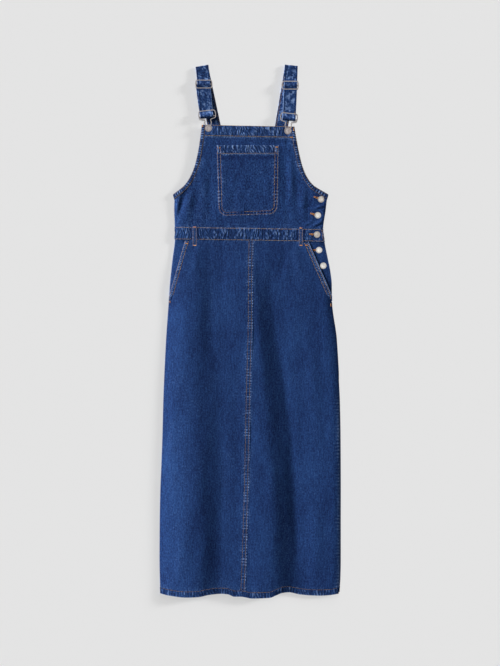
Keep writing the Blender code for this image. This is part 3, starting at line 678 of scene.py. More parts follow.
class Finish(Enum):
    """The dress's finishes, and the record's slot that each belongs to."""

    DENIM = DenimFinish("indigo_denim")
    BODICE = DenimFinish("bodice_denim", grain=2.4)
    WORN = DenimFinish("worn_indigo_denim", deep=hue(8, 24, 60))
    THREAD = ThreadFinish("tan_thread", hue(206, 168, 112), hue(146, 112, 70))
    FADED = ThreadFinish("faded_thread", hue(170, 140, 98), hue(112, 88, 60))
    TACK = ThreadFinish("orange_thread", hue(226, 160, 84), hue(158, 102, 50))
    BUTTONHOLE = ThreadFinish("buttonhole_thread", hue(196, 132, 66), hue(132, 84, 38))
    NICKEL = NickelFinish("tumbled_nickel", (0.76, 0.71, 0.66, 1.0), (0.52, 0.47, 0.43, 1.0))
    # A lighter copy of the tumbled nickel for side buttons 2, 4 and 5: a painted reflection.
    BRIGHT = NickelFinish("nickel_painted_brighter", (0.95, 0.92, 0.88, 1.0), (0.74, 0.71, 0.67, 1.0))
    AGED = NickelFinish("aged_nickel", (0.61, 0.55, 0.54, 1.0), (0.37, 0.33, 0.34, 1.0))
    WIRE = NickelFinish("wire_nickel", (0.72, 0.66, 0.64, 1.0), (0.50, 0.45, 0.44, 1.0))

    @property
    def slot(self) -> str | None:
        """The record's material slot."""
        if isinstance(self.value, NickelFinish):
            return "nickel"
        return {"DENIM": "denim", "BODICE": "denim", "WORN": "worn_denim"}.get(self.name)

    @property
    def material(self) -> bpy.types.Material:
        """The finish's material."""
        return material_of(self.value)


# --- Making ---


def put(name: str, mesh: bpy.types.Mesh, finish: Finish, nodes: Sequence[str] = ()) -> bpy.types.Object:
    """Adds a finished piece that rides with the dress.

    Args:
        name: The piece's name.
        mesh: Its mesh, in the part's frame.
        finish: Its finish.
        nodes: The solids that it stands for.

    Returns:
        The piece.
    """
    obj = bpy.data.objects.new(name, mesh)
    bpy.context.scene.collection.objects.link(obj)
    mesh.materials.append(finish.material)
    mesh.shade_smooth()
    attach(obj, "root")
    if nodes:
        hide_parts(*nodes)
    LOG.info("%s: %d faces", name, len(mesh.polygons))
    return obj


def mesh_of(made: bmesh.types.BMesh, name: str) -> bpy.types.Mesh:
    """Turns what was made into a named mesh, and frees it."""
    mesh = bpy.data.meshes.new(name)
    made.to_mesh(mesh)
    made.free()
    return mesh


def woven(name: str, columns: int, rows: int) -> tuple[bpy.types.Mesh, Array, Array]:
    """Makes a grid to lay out as cloth.

    Args:
        name: The mesh's name.
        columns: How many faces it has across.
        rows: How many it has up.

    Returns:
        The mesh, and the column and the row of each of its points.
    """
    made = bmesh.new()
    bmesh.ops.create_grid(made, x_segments=columns, y_segments=rows, size=0.5)
    mesh = mesh_of(made, name)
    flat = np.empty(len(mesh.vertices) * 3)
    mesh.vertices.foreach_get("co", flat)
    column, row = np.rint((flat.reshape(-1, 3)[:, :2] + 0.5) * (columns, rows)).astype(int).T
    return mesh, column, row


def even(count: int) -> Array:
    """Even fractions from 0 to 1."""
    return np.linspace(0.0, 1.0, count + 1)


def crowded(count: int, share: float = 0.75) -> Array:
    """Fractions from 0 to 1 that crowd toward both ends, by a share of the way to a cosine's."""
    steps = even(count)
    return steps + share * ((1 - np.cos(np.pi * steps)) / 2 - steps)


def rows_between(left: Edge, right: Edge, low: float, top: float) -> Outline:
    """Rows of one height each, between two edges given by height."""

    def outline(u: Array, v: Array) -> Arrays:
        """The pattern's x and y at fractions across and up."""
        y = low + (top - low) * v
        first, last = left(y), right(y)
        return first + (last - first) * u, y

    return outline


def rows_across(edge: Callable[[Side, Array], Array], low: float, top: float) -> Outline:
    """Rows of one height each, from an edge's left side to its right side."""
    return rows_between(lambda y: edge(Side.LEFT, y), lambda y: edge(Side.RIGHT, y), low, top)


def on_floor(x: Array, y: Array) -> Array:
    """The back's underside."""
    return np.zeros(np.shape(x))


def plain(u: Array, v: Array, x: Array, y: Array) -> Arrays:
    """Cloth with hardly a wrinkle, for what stays hidden."""
    return 0.2 + 0.2 * BROAD.at(x / 40.0, y / 70.0), np.full(np.shape(x), 0.2)


def unwrinkled(u: Array, v: Array, x: Array, y: Array) -> Arrays:
    """Cloth with no wrinkle."""
    return 0 * x, 0 * x + 0.2


@dataclass
class Cloth:
    """One cut piece of cloth: a shell above an underside, over fractions across and up.

    Attributes:
        name: The solid that it stands for.
        across: The fractions of its columns of points, and up those of its rows.
        outline: The pattern's places at those fractions.
        rest: How high the underside lies.
        relief: How far wrinkles lift it, and its tint: paler where worn, with painted shade and highlight on
            some pieces.
        rests_on: The solids that it lies on; not used.
        roll: How far its cut edges are rounded.
    """

    name: str
    across: Array
    up: Array
    outline: Outline
    rest: Field
    thickness: float
    finish: Finish = Finish.DENIM
    relief: Relief = plain
    rests_on: Sequence[str] = ()
    roll: float = 0.45
    piece: bpy.types.Object | None = None

    def point(self, u: Array, v: Array, lift: float = 0.0) -> Array:
        """Points that far above the underside, at fractions across and up."""
        x, y = self.outline(u, v)
        return FORM.place(x, y, self.rest(x, y) + self.relief(u, v, x, y)[0] + lift)

    def over(self, x: Array, y: Array, lift: float) -> Array:
        """Points that far above the underside at places of the pattern."""
        return FORM.place(x, y, self.rest(x, y) + self.relief(0 * x, 0 * x, x, y)[0] + lift)

    def build(self) -> "Cloth":
        """Makes the piece, which stands for the solid of its name."""
        mesh, column, row = woven(self.name, len(self.across) - 1, len(self.up) - 1)
        u, v = self.across[column], self.up[row]
        x, y = self.outline(u, v)
        rise, wear = self.relief(u, v, x, y)
        mesh.vertices.foreach_set("co", FORM.place(x, y, self.rest(x, y) + rise).ravel())
        stamp(mesh, np.stack((x, y), axis=-1) * MM, wear)
        mesh.update()
        if sum(face.normal.z for face in mesh.polygons) < 0:
            mesh.flip_normals()
        self.piece = put(self.name + "_cloth", mesh, self.finish, [self.name])
        thicken(self.piece, self.thickness, 1.0, self.roll)
        return self

    def declare(self, with_pieces: Sequence[bpy.types.Object] = ()) -> None:
        """Lays a grid of points over the piece's form without wrinkles, and hands it to declare."""
        u, v = np.meshgrid(self.across, self.up, indexing="ij")
        x, y = self.outline(u, v)
        declare(FORM.place(x, y, self.rest(x, y)))


def declare(
    laid: Array,
) -> None:
    """Takes the diagonals of a grid of points over a piece of cloth, and does nothing more with them.

    Args:
        laid: The grid's points, by column and then row.
    """
    diagonals = laid[1:, 1:] - laid[:-1, :-1], laid[1:, :-1] - laid[:-1, 1:]


def stamp(mesh: bpy.types.Mesh, places: Array, wear: Array) -> None:
    """Gives a mesh its cloth map, in metres along the yarns, and its tint: paler where worn, with painted
    shade and highlight on some pieces.
    """
    corners = np.empty(len(mesh.loops), int)
    mesh.loops.foreach_get("vertex_index", corners)
    mesh.uv_layers.new(name="cloth").data.foreach_set("uv", places[corners].astype(np.float32).ravel())
    layer = mesh.attributes.new("wear", "FLOAT", "POINT")
    layer.data.foreach_set("value", np.asarray(wear, np.float32))


def thicken(obj: bpy.types.Object, thickness: float, offset: float, roll: float) -> None:
    """Gives a surface the thickness of its cloth, and rounds its cut edges."""
    solid = obj.modifiers.new("thickness", "SOLIDIFY")
    solid.thickness, solid.offset, solid.use_even_offset = thickness * MM, offset, False
    edge = obj.modifiers.new("rolled_edge", "BEVEL")
    edge.width, edge.segments, edge.limit_method = roll * MM, 2, "ANGLE"
    edge.angle_limit, edge.harden_normals = math.radians(60), True


@dataclass
class Sewing:
    """Thread in one finish, gathered in one piece; pitch is the way from one stitch to the next."""

    name: str
    finish: Finish = Finish.THREAD
    pitch: float = 3.3
    length: float = 2.55
    radius: float = 0.36
    made: bmesh.types.BMesh = field(default_factory=bmesh.new)

    def thread(self, start: Array, end: Array, radius: float) -> None:
        """One short thread between two points, in metres, of a radius in millimetres."""
        along = Vector(end) - Vector(start)
        side = along.cross(Vector((0.0, 0.0, 1.0))).normalized() * radius * MM
        rise = side.cross(along).normalized() * radius * MM * 0.8
        matrix = Matrix((side, rise, along / 2)).transposed().to_4x4()
        matrix.translation = (Vector(start) + Vector(end)) / 2
        bmesh.ops.create_uvsphere(self.made, u_segments=6, v_segments=4, radius=1.0, matrix=matrix)

    def line(self, points: Array) -> None:
        """Topstitches along a line of points, in metres."""
        lengths = np.concatenate(([0.0], np.cumsum(np.linalg.norm(np.diff(points, axis=0), axis=1)))) / MM
        count = max(int(lengths[-1] / self.pitch), 1)
        starts = (np.arange(count) + 0.5) * lengths[-1] / count - self.length / 2
        first, last = (
            np.stack([np.interp(at, lengths, points[:, i]) for i in range(3)], axis=-1)
            for at in (starts, starts + self.length)
        )
        for start, end in zip(first, last):
            self.thread(start, end, self.radius)

    def tack(self, start: Array, end: Array, width: float) -> None:
        """A bar tack between two points: close threads across the bar."""
        span = end - start
        length = float(np.linalg.norm(span)) / MM
        across = np.cross(span, (0.0, 0.0, 1.0))
        across = across / np.linalg.norm(across) * width / 2 * MM
        for share in even(max(round(length / 0.62), 2)):
            middle = start + span * share
            self.thread(middle - across, middle + across, 0.36)

    def build(self) -> bpy.types.Object:
        """Makes the piece."""
        return put(self.name, mesh_of(self.made, self.name), self.finish)


def wire(made: bmesh.types.BMesh, points: Sequence[Vector], radius: float, closed: bool) -> None:
    """Adds a round wire, as rings that are bridged one to the next.

    Args:
        made: The mesh that it is added to, in metres.
        points: The wire's middle line, in millimetres.
        radius: Its radius in millimetres.
        closed: Whether it runs on from the last point to the first.
    """
    count = len(points)
    rings = []
    for i, point in enumerate(points):
        before = points[i - 1] if closed or i else point
        beyond = points[(i + 1) % count] if closed or i < count - 1 else point
        matrix = (beyond - before).to_track_quat("Z", "Y").to_matrix().to_4x4()
        matrix.translation = point * MM
        capped = not closed and i in (0, count - 1)
        ring = bmesh.ops.create_circle(made, cap_ends=capped, segments=12, radius=radius * MM, matrix=matrix)
        rings.append({edge for vert in ring["verts"] for edge in vert.link_edges})
    for first, second in zip(rings, rings[1:] + rings[:1] if closed else rings[1:]):
        bmesh.ops.bridge_loops(made, edges=[*first, *second])


# --- Sub-assemblies ---


@dataclass
class Skirt:
    """The skirt's two front panels, the felled seam between them, the hems, and the back panel."""

    seam_left: float = 5.6  # the felled seam's reach from the centre line
    seam_right: float = 7.2
    seam_stitch: float = 3.6  # from the centre line to either line of stitches
    hem_stitch: float = 13.4  # the hem's stitches above its edge
    back_rise: float = 2.5  # the back's hem above the front's
    creases: Sequence[Crease] = creases_of(
        (-120, 205, -134, 120, 9, 0.9), (-96, 208, -88, 150, 7, -0.6), (-60, 208, -70, 60, 14, -0.8),
        (40, 208, 34, 90, 12, 0.7), (88, 208, 70, 130, 8, -0.7), (104, 206, 118, 118, 9, 0.8),
        (-150, 40, -166, -190, 16, 0.8), (-112, -20, -104, -260, 15, -0.7),
        (-178, -120, -186, -420, 13, 0.7), (-40, -150, -46, -420, 16, 0.6), (140, 20, 156, -230, 14, 0.6),
        (172, -60, 180, -330, 12, -0.5), (60, -260, 76, -560, 15, 0.7), (-120, -400, -132, -590, 14, -0.8),
        (150, -380, 146, -590, 15, 0.7), (-160, -470, -168, -600, 11, 0.7), (66, -10, 98, -270, 9, -0.8),
        (94, -210, 113, -600, 9, -0.9), (76, -230, 92, -560, 9, 0.5),
    )

    def mouth_edge(self, side: Side, y: Array) -> Array:
        """A panel's outer edge, with the pocket mouth cut off it."""
        below, pocket = FORM.front_edge(side, y) + side.inward * GAP, HipPocket(side)
        return np.where(y <= pocket.tip_y, below, pocket.inner(y, GAP))

    def seam(self, y: Array, offset: float) -> Array:
        """A line along the centre seam."""
        return FORM.CENTRE_LINE.at("x", y) + offset

    def relief(self, u: Array, v: Array, x: Array, y: Array) -> Arrays:
        """The panels' soft unevenness, their creases, and the puckers beside the seams, with painted light
        along the lower right side seam and painted shade in the crease valleys.
        """
        off_centre = x - self.seam(y, 0.0)
        off_seam = np.maximum(off_centre - self.seam_right, -self.seam_left - off_centre)
        off_side = FORM.front_edge(Side.RIGHT, y) - x
        ticks = np.cos(2 * np.pi * (y / 8.0 + 0.5 * SOFT.at(y / 45.0, 0.5)))
        ticks = ticks * (0.5 + 0.5 * FINE.at(y / 17.0, 2.0))
        side_seam = 0.5 * ticks * ramp(off_side, 18.0, 6.0) + 0.25 * bell(off_side - 3.5, 1.9)
        seam_shows = ramp(y, *FORM.SEAM_TURNS)
        side_seam = seam_shows * (side_seam + 0.5 * fading(off_side, 1.2))
        drawn = fringe(y, off_seam, 5.0) + 0.7 * fringe(x, WAIST_LOW - y, 7.0, 8.0)
        drawn = drawn + fringe(x, y - HEM_Y - HEM_DEPTH) + side_seam
        soft = 0.3 * (BROAD.at(x / 26.0, y / 120.0) + 0.6 * SOFT.at(x / 11.0, y / 33.0)) + 0.5
        edge = ramp(np.minimum(x - FORM.outline(Side.LEFT, y), FORM.outline(Side.RIGHT, y) - x), 2.0, 22.0)
        folds = rise_of(self.creases, x, y)
        rise = (soft + folds) * edge + 0.42 * drawn
        mottle = 0.05 * SOFT.at(x / 30.0, y / 60.0) + 0.04 * FINE.at(x / 6.0, y / 9.0)
        # Painted light: paler cloth within 14 mm of the lower right side seam, lifting the shade where the
        # edge turns down.
        pale = 0.14 * ramp(off_side, 14.0, 1.0) * seam_shows
        # The crease height tints the cloth: paler on crests where worn, and darker in the valleys as painted
        # shade.
        return rise, np.clip(0.18 + mottle + 0.06 * folds * edge + 0.5 * drawn + pale, -0.2, 1.0)

    def hem_relief(self, u: Array, v: Array, x: Array, y: Array) -> Arrays:
        """The turned hem's ridges."""
        puckers = Puckers(
            HEM_DEPTH, (self.hem_stitch,), 6.6, 0.15, ridge=0.45, ridge_wear=0.6, strokes=0.2,
            strokes_wear=0.2, base=-0.1, worn_edges=(0.5, 0.05),
        )
        return puckers.at(x, y - HEM_Y)

    def seam_relief(self, u: Array, v: Array, x: Array, y: Array) -> Arrays:
        """The felled seam's ridges."""
        lines = (self.seam_left - self.seam_stitch, self.seam_left + self.seam_stitch)
        puckers = Puckers(
            self.seam_left + self.seam_right, lines, 6.4, 0.0, ridge=0.45, ridge_wear=0.72, crest=1.4,
            wander=0.15, strokes=0.1, strokes_wear=0.14, base=-0.02, seam_dark=0.06, worn_edges=(0.05, 0.35),
            edge_reach=1.4,
        )
        return puckers.at(y, x - self.seam(y, -self.seam_left))

    def build(self) -> None:
        """Makes the skirt's pieces and sews them."""
        hem_top, top = HEM_Y + HEM_DEPTH, WAIST_LOW - GAP / 2
        first, last, low = -self.seam_left, self.seam_right, hem_top + GAP / 2
        left = rows_between(
            lambda y: self.mouth_edge(Side.LEFT, y), lambda y: self.seam(y, first - GAP / 2), low, top
        )
        right = rows_between(
            lambda y: self.seam(y, last + GAP / 2), lambda y: self.mouth_edge(Side.RIGHT, y), low, top
        )
        felled = rows_between(lambda y: self.seam(y, first), lambda y: self.seam(y, last), low, top)
        hem = rows_across(FORM.front_edge, HEM_Y, hem_top)
        back = rows_across(FORM.back_edge, hem_top + self.back_rise + GAP, top)
        back_hem = rows_across(FORM.back_edge, HEM_Y + self.back_rise, hem_top + self.back_rise)
        fronts = [
            Cloth(
                "skirt_front_" + name, crowded(80, 0.5), even(290), shape, FORM.front, CLOTH,
                relief=self.relief, rests_on=["back_skirt"],
            )
            for name, shape in (("left", left), ("right", right))
        ]
        seam = Cloth(
            "centre_front_seam", even(12), even(640), felled, FORM.front, FELLED, Finish.WORN,
            self.seam_relief, ["back_skirt"],
        )
        front_hem = Cloth(
            "hem_front", even(460), even(11), hem, FORM.front, TURNED, Finish.WORN, self.hem_relief,
            ["hem_back"],
        )
        backs = [
            Cloth("back_skirt", crowded(60), even(150), back, on_floor, CLOTH, relief=self.back_relief),
            Cloth(
                "hem_back", even(200), even(6), back_hem, on_floor, CLOTH, Finish.WORN,
                self.back_hem_relief,
            ),
        ]
        for cloth in (*fronts, seam, front_hem, *backs):
            cloth.build()

        sewing = Sewing("skirt_stitching", Finish.FADED, radius=0.32)
        y = np.linspace(hem_top + 1.0, top - 1.0, 400)
        for offset in (-self.seam_stitch, self.seam_stitch):
            x = self.seam(y, offset)
            sewing.line(seam.over(x, y, FELLED + THREAD_LIFT))
        u = even(400)[4:-4]
        v = np.full(len(u), self.hem_stitch / HEM_DEPTH)
        sewing.line(front_hem.point(u, v, TURNED + THREAD_LIFT))
        threads = sewing.build()
        fronts[0].declare()
        fronts[1].declare()
        seam.declare([threads])
        for cloth in (front_hem, *backs):
            cloth.declare()

    def back_relief(self, u: Array, v: Array, x: Array, y: Array) -> Arrays:
        """The back panel's slight folds, which leave most of it on the floor."""
        lifted = np.clip(BROAD.at(x / 34.0 + 9.0, y / 120.0) + 0.4 * SOFT.at(x / 17.0, y / 50.0), 0.0, 1.0)
        off_side = FORM.outline(Side.RIGHT, y) - x
        edge = ramp(np.minimum(x - FORM.outline(Side.LEFT, y), off_side), 12.0, 45.0)
        wear = 0.2 + 0.8 * np.exp(-off_side / 3.0) + 0.05 * SOFT.at(x / 30.0, y / 60.0)
        return 0.45 * lifted * edge, np.clip(wear, 0.0, 1.0)

    def back_hem_relief(self, u: Array, v: Array, x: Array, y: Array) -> Arrays:
        """The back hem's ridges, which show at its worn edge."""
        puckers = Puckers(HEM_DEPTH, (), 6.0, 0.7, ridge=0.1, worn_edges=(0.6, 0.0))
        rise, wear = puckers.at(x, y - HEM_Y - self.back_rise)
        return np.clip(rise - 0.05, 0.0, 0.2), wear


@dataclass
class HipPocket:
    """A slant pocket: its double-stitched mouth, and the hip piece that shows in it."""

    side: Side
    # The stitched edge's width, and how far in its two lines of stitches run.
    edges: dict = field(default_factory=lambda: {Side.LEFT: (9.4, 1.2, 8.3), Side.RIGHT: (11.6, 3.6, 10.6)})
    tip_y: float = 69.0  # where the edge starts
    full_y: float = 84.0  # where it has its width
    lap: float = 20.0  # the hip piece's reach under it
    # The open edge's x at the waist, and its slope.
    mouths: dict = field(default_factory=lambda: {Side.LEFT: (-151.4, -0.2948), Side.RIGHT: (137.0, 0.427)})

    def mouth(self, y: Array) -> Array:
        """The pocket's open edge, which ends on the outline."""
        x, slope = self.mouths[self.side]
        x = x + slope * (WAIST_LOW - y)
        limit = FORM.outline(self.side, y)
        return np.maximum(x, limit) if self.side is Side.LEFT else np.minimum(x, limit)

    def inner(self, y: Array, beyond: float = 0.0) -> Array:
        """The inner side of the stitched edge, which narrows to a tip on the outline."""
        width = self.edges[self.side][0] * np.clip((y - self.tip_y) / (self.full_y - self.tip_y), 0.0, 1.0)
        return self.mouth(y) + self.side.inward * (width + beyond)

    def relief(self, u: Array, v: Array, x: Array, y: Array) -> Arrays:
        """The stitched edge's ridges."""
        width, *lines = self.edges[self.side]
        puckers = Puckers(
            width, lines, 6.0, -0.4, ridge=0.4, ridge_wear=0.6, base=0.1, worn_edges=(0.75, 0.15),
            edge_reach=1.8,
        )
        return puckers.at(y * 1.06, np.abs(x - self.mouth(y)))

    def hip_relief(self, u: Array, v: Array, x: Array, y: Array) -> Arrays:
        """The hip piece, with a light bloom along its fold at the side."""
        off = x - FORM.outline(self.side, y)
        raised = ramp(y, 201.0, 211.0) * ramp((self.mouth(y) - x) * self.side.inward, 1.0, 6.0)
        return (CLOTH + 0.1) * raised, np.clip(0.2 + 0.35 * fading(off, 2.0), 0.0, 1.0)

    def build(self) -> None:
        """Makes the pocket's pieces and sews them."""
        name, top = self.side.value, WAIST_LOW - GAP
        mouth = rows_between(self.mouth, self.inner, self.tip_y + 2.0, top)
        hip = rows_between(
            lambda y: FORM.outline(self.side, y) + self.side.inward * 0.4,
            lambda y: self.mouth(y) + self.side.inward * self.lap,
            self.full_y,
            top,
        )
        edge = Cloth(
            "pocket_edge_" + name, even(9), even(110), mouth, FORM.front, EDGE_CLOTH, Finish.WORN,
            self.relief, ["hip_piece_" + name], roll=0.3,
        )
        under = Cloth(
            "hip_piece_" + name, even(16), even(50), hip, lambda x, y: FORM.front(x, y) - CLOTH - GAP, CLOTH,
            relief=self.hip_relief, rests_on=["back_skirt"],
        )
        edge.build()
        under.build()
        sewing, tacks = Sewing(f"pocket_{name}_stitching"), Sewing(f"pocket_{name}_tacks", Finish.TACK)
        inward = self.side.inward
        outer, inner = self.edges[self.side][1:]
        for inset, start in ((outer, -8.0), (inner, 1.0)):
            y = np.linspace(self.full_y + start, top - 3.0, 160)
            sewing.line(edge.over(self.mouth(y) + inward * inset, y, EDGE_CLOTH + THREAD_LIFT))
        upper = np.array([top - 8.4, top - 8.4])
        across = self.mouth(upper) + inward * np.array([outer + 1.2, inner + 0.8])
        tacks.tack(*edge.over(across, upper, EDGE_CLOTH + STRIP_TACK_LIFT), 2.2)
        lower = np.array([66.5, 71.5] if self.side is Side.LEFT else [58.5, 64.5])
        across = FORM.front_edge(self.side, lower) + inward * 3.2
        tacks.tack(*FORM.place(across, lower, FORM.front(across, lower) + CLOTH + 0.4), 2.0)
        edge.declare([sewing.build(), tacks.build()])
        under.declare()


@dataclass
class Waist:
    """The waistband's front and back, and the two belt loops."""

    lines: Pair = (1.6, 28.4)  # of stitches, above the band's low edge
    button_x: float = 156.6
    # Each belt loop's middle x, low end, top end and width.
    loops: dict = field(
        default_factory=lambda: {
            Side.LEFT: (-129.4, 197.0, 242.9, 11.4),
            Side.RIGHT: (119.3, 201.0, 244.4, 10.4),
        }
    )
    loop_stitch: float = 2.2  # a loop's stitches, in from its sides

    def relief(self, u: Array, v: Array, x: Array, y: Array) -> Arrays:
        """The band's worn ridges between its two lines of stitches, and painted shadows beside the belt
        loops.
        """
        puckers = Puckers(
            WAIST_TOP - WAIST_LOW, self.lines, 7.0, 0.2, ridge=0.3, ridge_wear=0.3, crest=2.0, wander=0.7,
            marble=0.3, marble_wear=0.16, stroke=(2.0, 6.0), strokes=0.6, strokes_wear=0.48, base=-0.08,
            seam_dark=0.1, worn_edges=(0.5, 0.5), edge_reach=1.5,
        )
        rise, wear = puckers.at(x, y - WAIST_LOW)
        # Painted shadows: a dark strip on the band on either side of each belt loop.
        for middle, _, _, width in self.loops.values():
            wear = wear - 0.9 * bell(np.abs(x - middle) - width / 2 - 1.4, 1.9)
        return rise * ramp(np.abs(x - self.button_x), 7.0, 15.0), np.clip(wear, UNFADED, WORN_OUT)

    def loop(self, side: Side) -> Cloth:
        """One belt loop, which passes over the thicker waistband."""
        middle, low, top, width = self.loops[side]
        stations = (low, low + 4.0, WAIST_LOW - 2.5, top)
        lifts = (0.0, 0.0, 1.0, 1.0)

        def rest(x: Array, y: Array) -> Array:
            """The loop's underside over the skirt, the band and the bib."""
            lift = np.interp(y, stations, lifts) * (TURNED - CLOTH + 0.55)
            return FORM.front(x, y) + CLOTH + GAP + 0.35 + lift

        def relief(u: Array, v: Array, x: Array, y: Array) -> Arrays:
            """Two pale worn edges, and faint ridges between them."""
            puckers = Puckers(
                width, (self.loop_stitch, width - self.loop_stitch), 8.0, 0.2, ridge=0.2, ridge_wear=0.3,
                marble=0.1, marble_wear=0.15, base=0.2, seam_dark=0.0, worn_edges=(0.2, 0.2),
                edge_reach=1.6,
            )
            return puckers.at(y, x - middle + width / 2)

        half = width / 2
        shape = rows_between(lambda y: middle - half + 0 * y, lambda y: middle + half + 0 * y, low, top)
        return Cloth(
            "belt_loop_" + side.value, even(14), even(44), shape, rest, EDGE_CLOTH, Finish.WORN, relief,
            ["waistband_front", "front_bodice", "skirt_front_" + side.value],
        )

    def build(self) -> None:
        """Makes the waist's pieces and sews them."""
        front = rows_across(FORM.outline, WAIST_LOW, WAIST_TOP)
        back = rows_across(FORM.back_edge, WAIST_LOW, WAIST_TOP)
        band = Cloth(
            "waistband_front", even(440), even(24), front, FORM.front, TURNED, Finish.WORN, self.relief,
            ["waistband_back"],
        ).build()
        behind = Cloth("waistband_back", even(60), even(6), back, on_floor, CLOTH).build()
        sewing, tacks = Sewing("waist_stitching", radius=0.4), Sewing("belt_loop_tacks", Finish.TACK)
        loop_sewing = Sewing("belt_loop_stitching", radius=0.34)
        for height in self.lines:
            u = even(300)[2:-3]
            v = np.full(len(u), height / (WAIST_TOP - WAIST_LOW))
            sewing.line(band.point(u, v, TURNED + THREAD_LIFT))
        y = np.linspace(WAIST_LOW + 2.0, WAIST_TOP - 2.0, 12)
        sewing.line(band.over(FORM.outline(Side.RIGHT, y) - 2.6, y, TURNED + THREAD_LIFT))
        loops = [self.loop(side).build() for side in Side]
        for side, loop in zip(Side, loops):
            middle, low, top, width = self.loops[side]
            y = np.linspace(low + 3.5, top - 3.0, 30)
            for offset in (self.loop_stitch - width / 2, width / 2 - self.loop_stitch):
                loop_sewing.line(loop.over(np.full(len(y), middle + offset), y, EDGE_CLOTH + 0.1))
            for height in (low + 1.8, top - 1.4):
                x, y = middle + np.array([-0.3, 0.3]) * width, np.array([height, height])
                tacks.tack(*loop.over(x, y, EDGE_CLOTH + STRIP_TACK_LIFT), 2.0)
        band.declare([sewing.build()])
        behind.declare()
        loops[0].declare([tacks.build()])
        loops[1].declare([loop_sewing.build()])


@dataclass
class Bib:
    """The front bodice, its turned armholes and the band along its top."""

    hem: float = 9.0  # the armhole hems' width
    hem_lines: Pair = (0.9, 8.1)  # of stitches, in from the armhole
    # Where buttons hold the cloth flat.
    side_buttons: tuple = ((166.1, 307.3), (158.7, 272.8))
    clasp_buttons: tuple = ((-96.9, 473.0), (88.3, 470.2))
    creases: Sequence[Crease] = creases_of(
        (-150, 330, -173, 256, 6.5, -2), (-166, 314, -175, 258, 4.5, 1.3), (-138, 330, -150, 250, 8, 1.1),
        (-124, 330, -136, 262, 9, -0.7), (-112, 420, -104, 262, 11, 0.8), (-92, 400, -94, 255, 8, -0.7),
        (82, 430, 84, 262, 8, -0.9), (94, 440, 99, 290, 7, 0.7), (109, 400, 112, 270, 8, -0.7),
        (128, 338, 124, 258, 8, 0.7), (180, 296, 150, 288, 3, 1), (180, 290, 152, 284, 2.6, -0.9),
        (179, 286, 156, 281.5, 2.6, 0.8), (176, 262, 142, 246, 3.2, 1), (176, 256, 150, 245, 2.6, -0.9),
        (150, 262, 124, 246, 3.2, 0.8), (146, 256, 128, 246, 2.6, -0.7), (150, 296, 118, 284, 4, -0.7),
        (-60, 270, 40, 264, 7, 0.5), (60, 268, 110, 250, 6, -0.5), (-100, 448, -30, 444, 5, -0.5),
        (30, 444, 92, 440, 5, -0.5),
    )

    def relief(self, u: Array, v: Array, x: Array, y: Array) -> Arrays:
        """The bodice's creases, and the puckers beside its seams, with painted shade in the crease valleys.
        """
        left, right = FORM.outline(Side.LEFT, y), FORM.outline(Side.RIGHT, y)
        by_armhole = y > UNDERARM_Y - 8.0
        off = np.minimum(x - left, right - x) - self.hem * 1.3 * by_armhole
        drawn = fringe(y * 1.2, off, 4.0) * by_armhole
        below_band = BAND_LOW - y
        drawn = drawn + 0.8 * fringe(x, y - WAIST_TOP, 6.0, 7.5) + 0.6 * fringe(x, below_band, 5.0)
        drawn = drawn + 0.8 * fading(below_band, 1.8)
        soft = 0.3 * (BROAD.at(x / 15.0, y / 60.0) + 0.7 * SOFT.at(x / 8.0, y / 22.0)) + 0.4
        edge = ramp(np.minimum(x - left, right - x), 0.0, 9.0)
        calm = away_from(self.side_buttons, x, y, 6.5, 16.0)
        folds = rise_of(self.creases, x, y)
        rise = (soft + folds) * edge * calm + 0.42 * drawn * calm
        mottle = 0.06 * SOFT.at(x / 14.0, y / 30.0) + 0.07 * FINE.at(x / 4.6, y / 6.5)
        # The crease height tints the cloth: paler on crests where worn, and darker in the valleys as painted
        # shade.
        return rise, np.clip(0.2 + mottle + 0.06 * folds * edge + 0.5 * drawn, 0.0, 1.0)

    def hem_relief(self, u: Array, v: Array, x: Array, y: Array) -> Arrays:
        """A turned armhole's ridges."""
        puckers = Puckers(
            self.hem, self.hem_lines, 5.6, -0.1, ridge=0.6, ridge_wear=1.1, crest=1.4, wander=0.12, base=-0.2,
            seam_dark=0.1, worn_edges=(0.15, 0.1),
        )
        return puckers.at(v * FORM.armhole_length, u * self.hem)

    def band_relief(self, u: Array, v: Array, x: Array, y: Array) -> Arrays:
        """The top band's worn folds above its line of stitches."""
        height = BIB_TOP - BAND_LOW
        puckers = Puckers(
            height, (1.4, height - 1.0), 8.0, 0.6, ridge=0.35, ridge_wear=0.4, crest=2.5, wander=0.8,
            marble=0.35, marble_wear=0.18, stroke=(2.0, 6.5), strokes=0.55, strokes_wear=0.42, base=-0.02,
            seam_dark=0.1, worn_edges=(0.6, 0.2), edge_reach=1.5,
        )
        rise, wear = puckers.at(x + 31.0, y - BAND_LOW)
        return rise * away_from(self.clasp_buttons, x, y, 9.0, 15.0), wear

    def build(self) -> None:
        """Makes the bib's pieces and sews them."""
        inset, sides = self.hem + GAP / 2, tuple(Side)
        _, start_y = FORM.armhole(Side.LEFT, 1.0, inset)
        band_t = FORM.armhole_step(BAND_LOW, inset)
        low, split = WAIST_TOP + GAP / 2, 0.3

        def bodice(u: Array, v: Array) -> Arrays:
            """Rows that end on the side seams up to the underarm, and on the armhole hems above it."""
            t = np.interp(v, (split, 1.0), (1.0, FORM.armhole_step(BAND_LOW - GAP / 2, inset)))
            curved = [FORM.armhole(side, t, inset) for side in sides]
            y = np.where(v < split, low + (start_y - low) * v / split, curved[0][1])
            ends = [np.where(v < split, FORM.SIDES.at(s.value, y), c[0]) for s, c in zip(sides, curved)]
            return ends[0] + (ends[1] - ends[0]) * u, y

        def band(u: Array, v: Array) -> Arrays:
            """Rows between the two armhole hems, up to the bib's top."""
            (left, y), (right, _) = (FORM.armhole(side, band_t * (1 - v), inset) for side in sides)
            return left + (right - left) * u, y

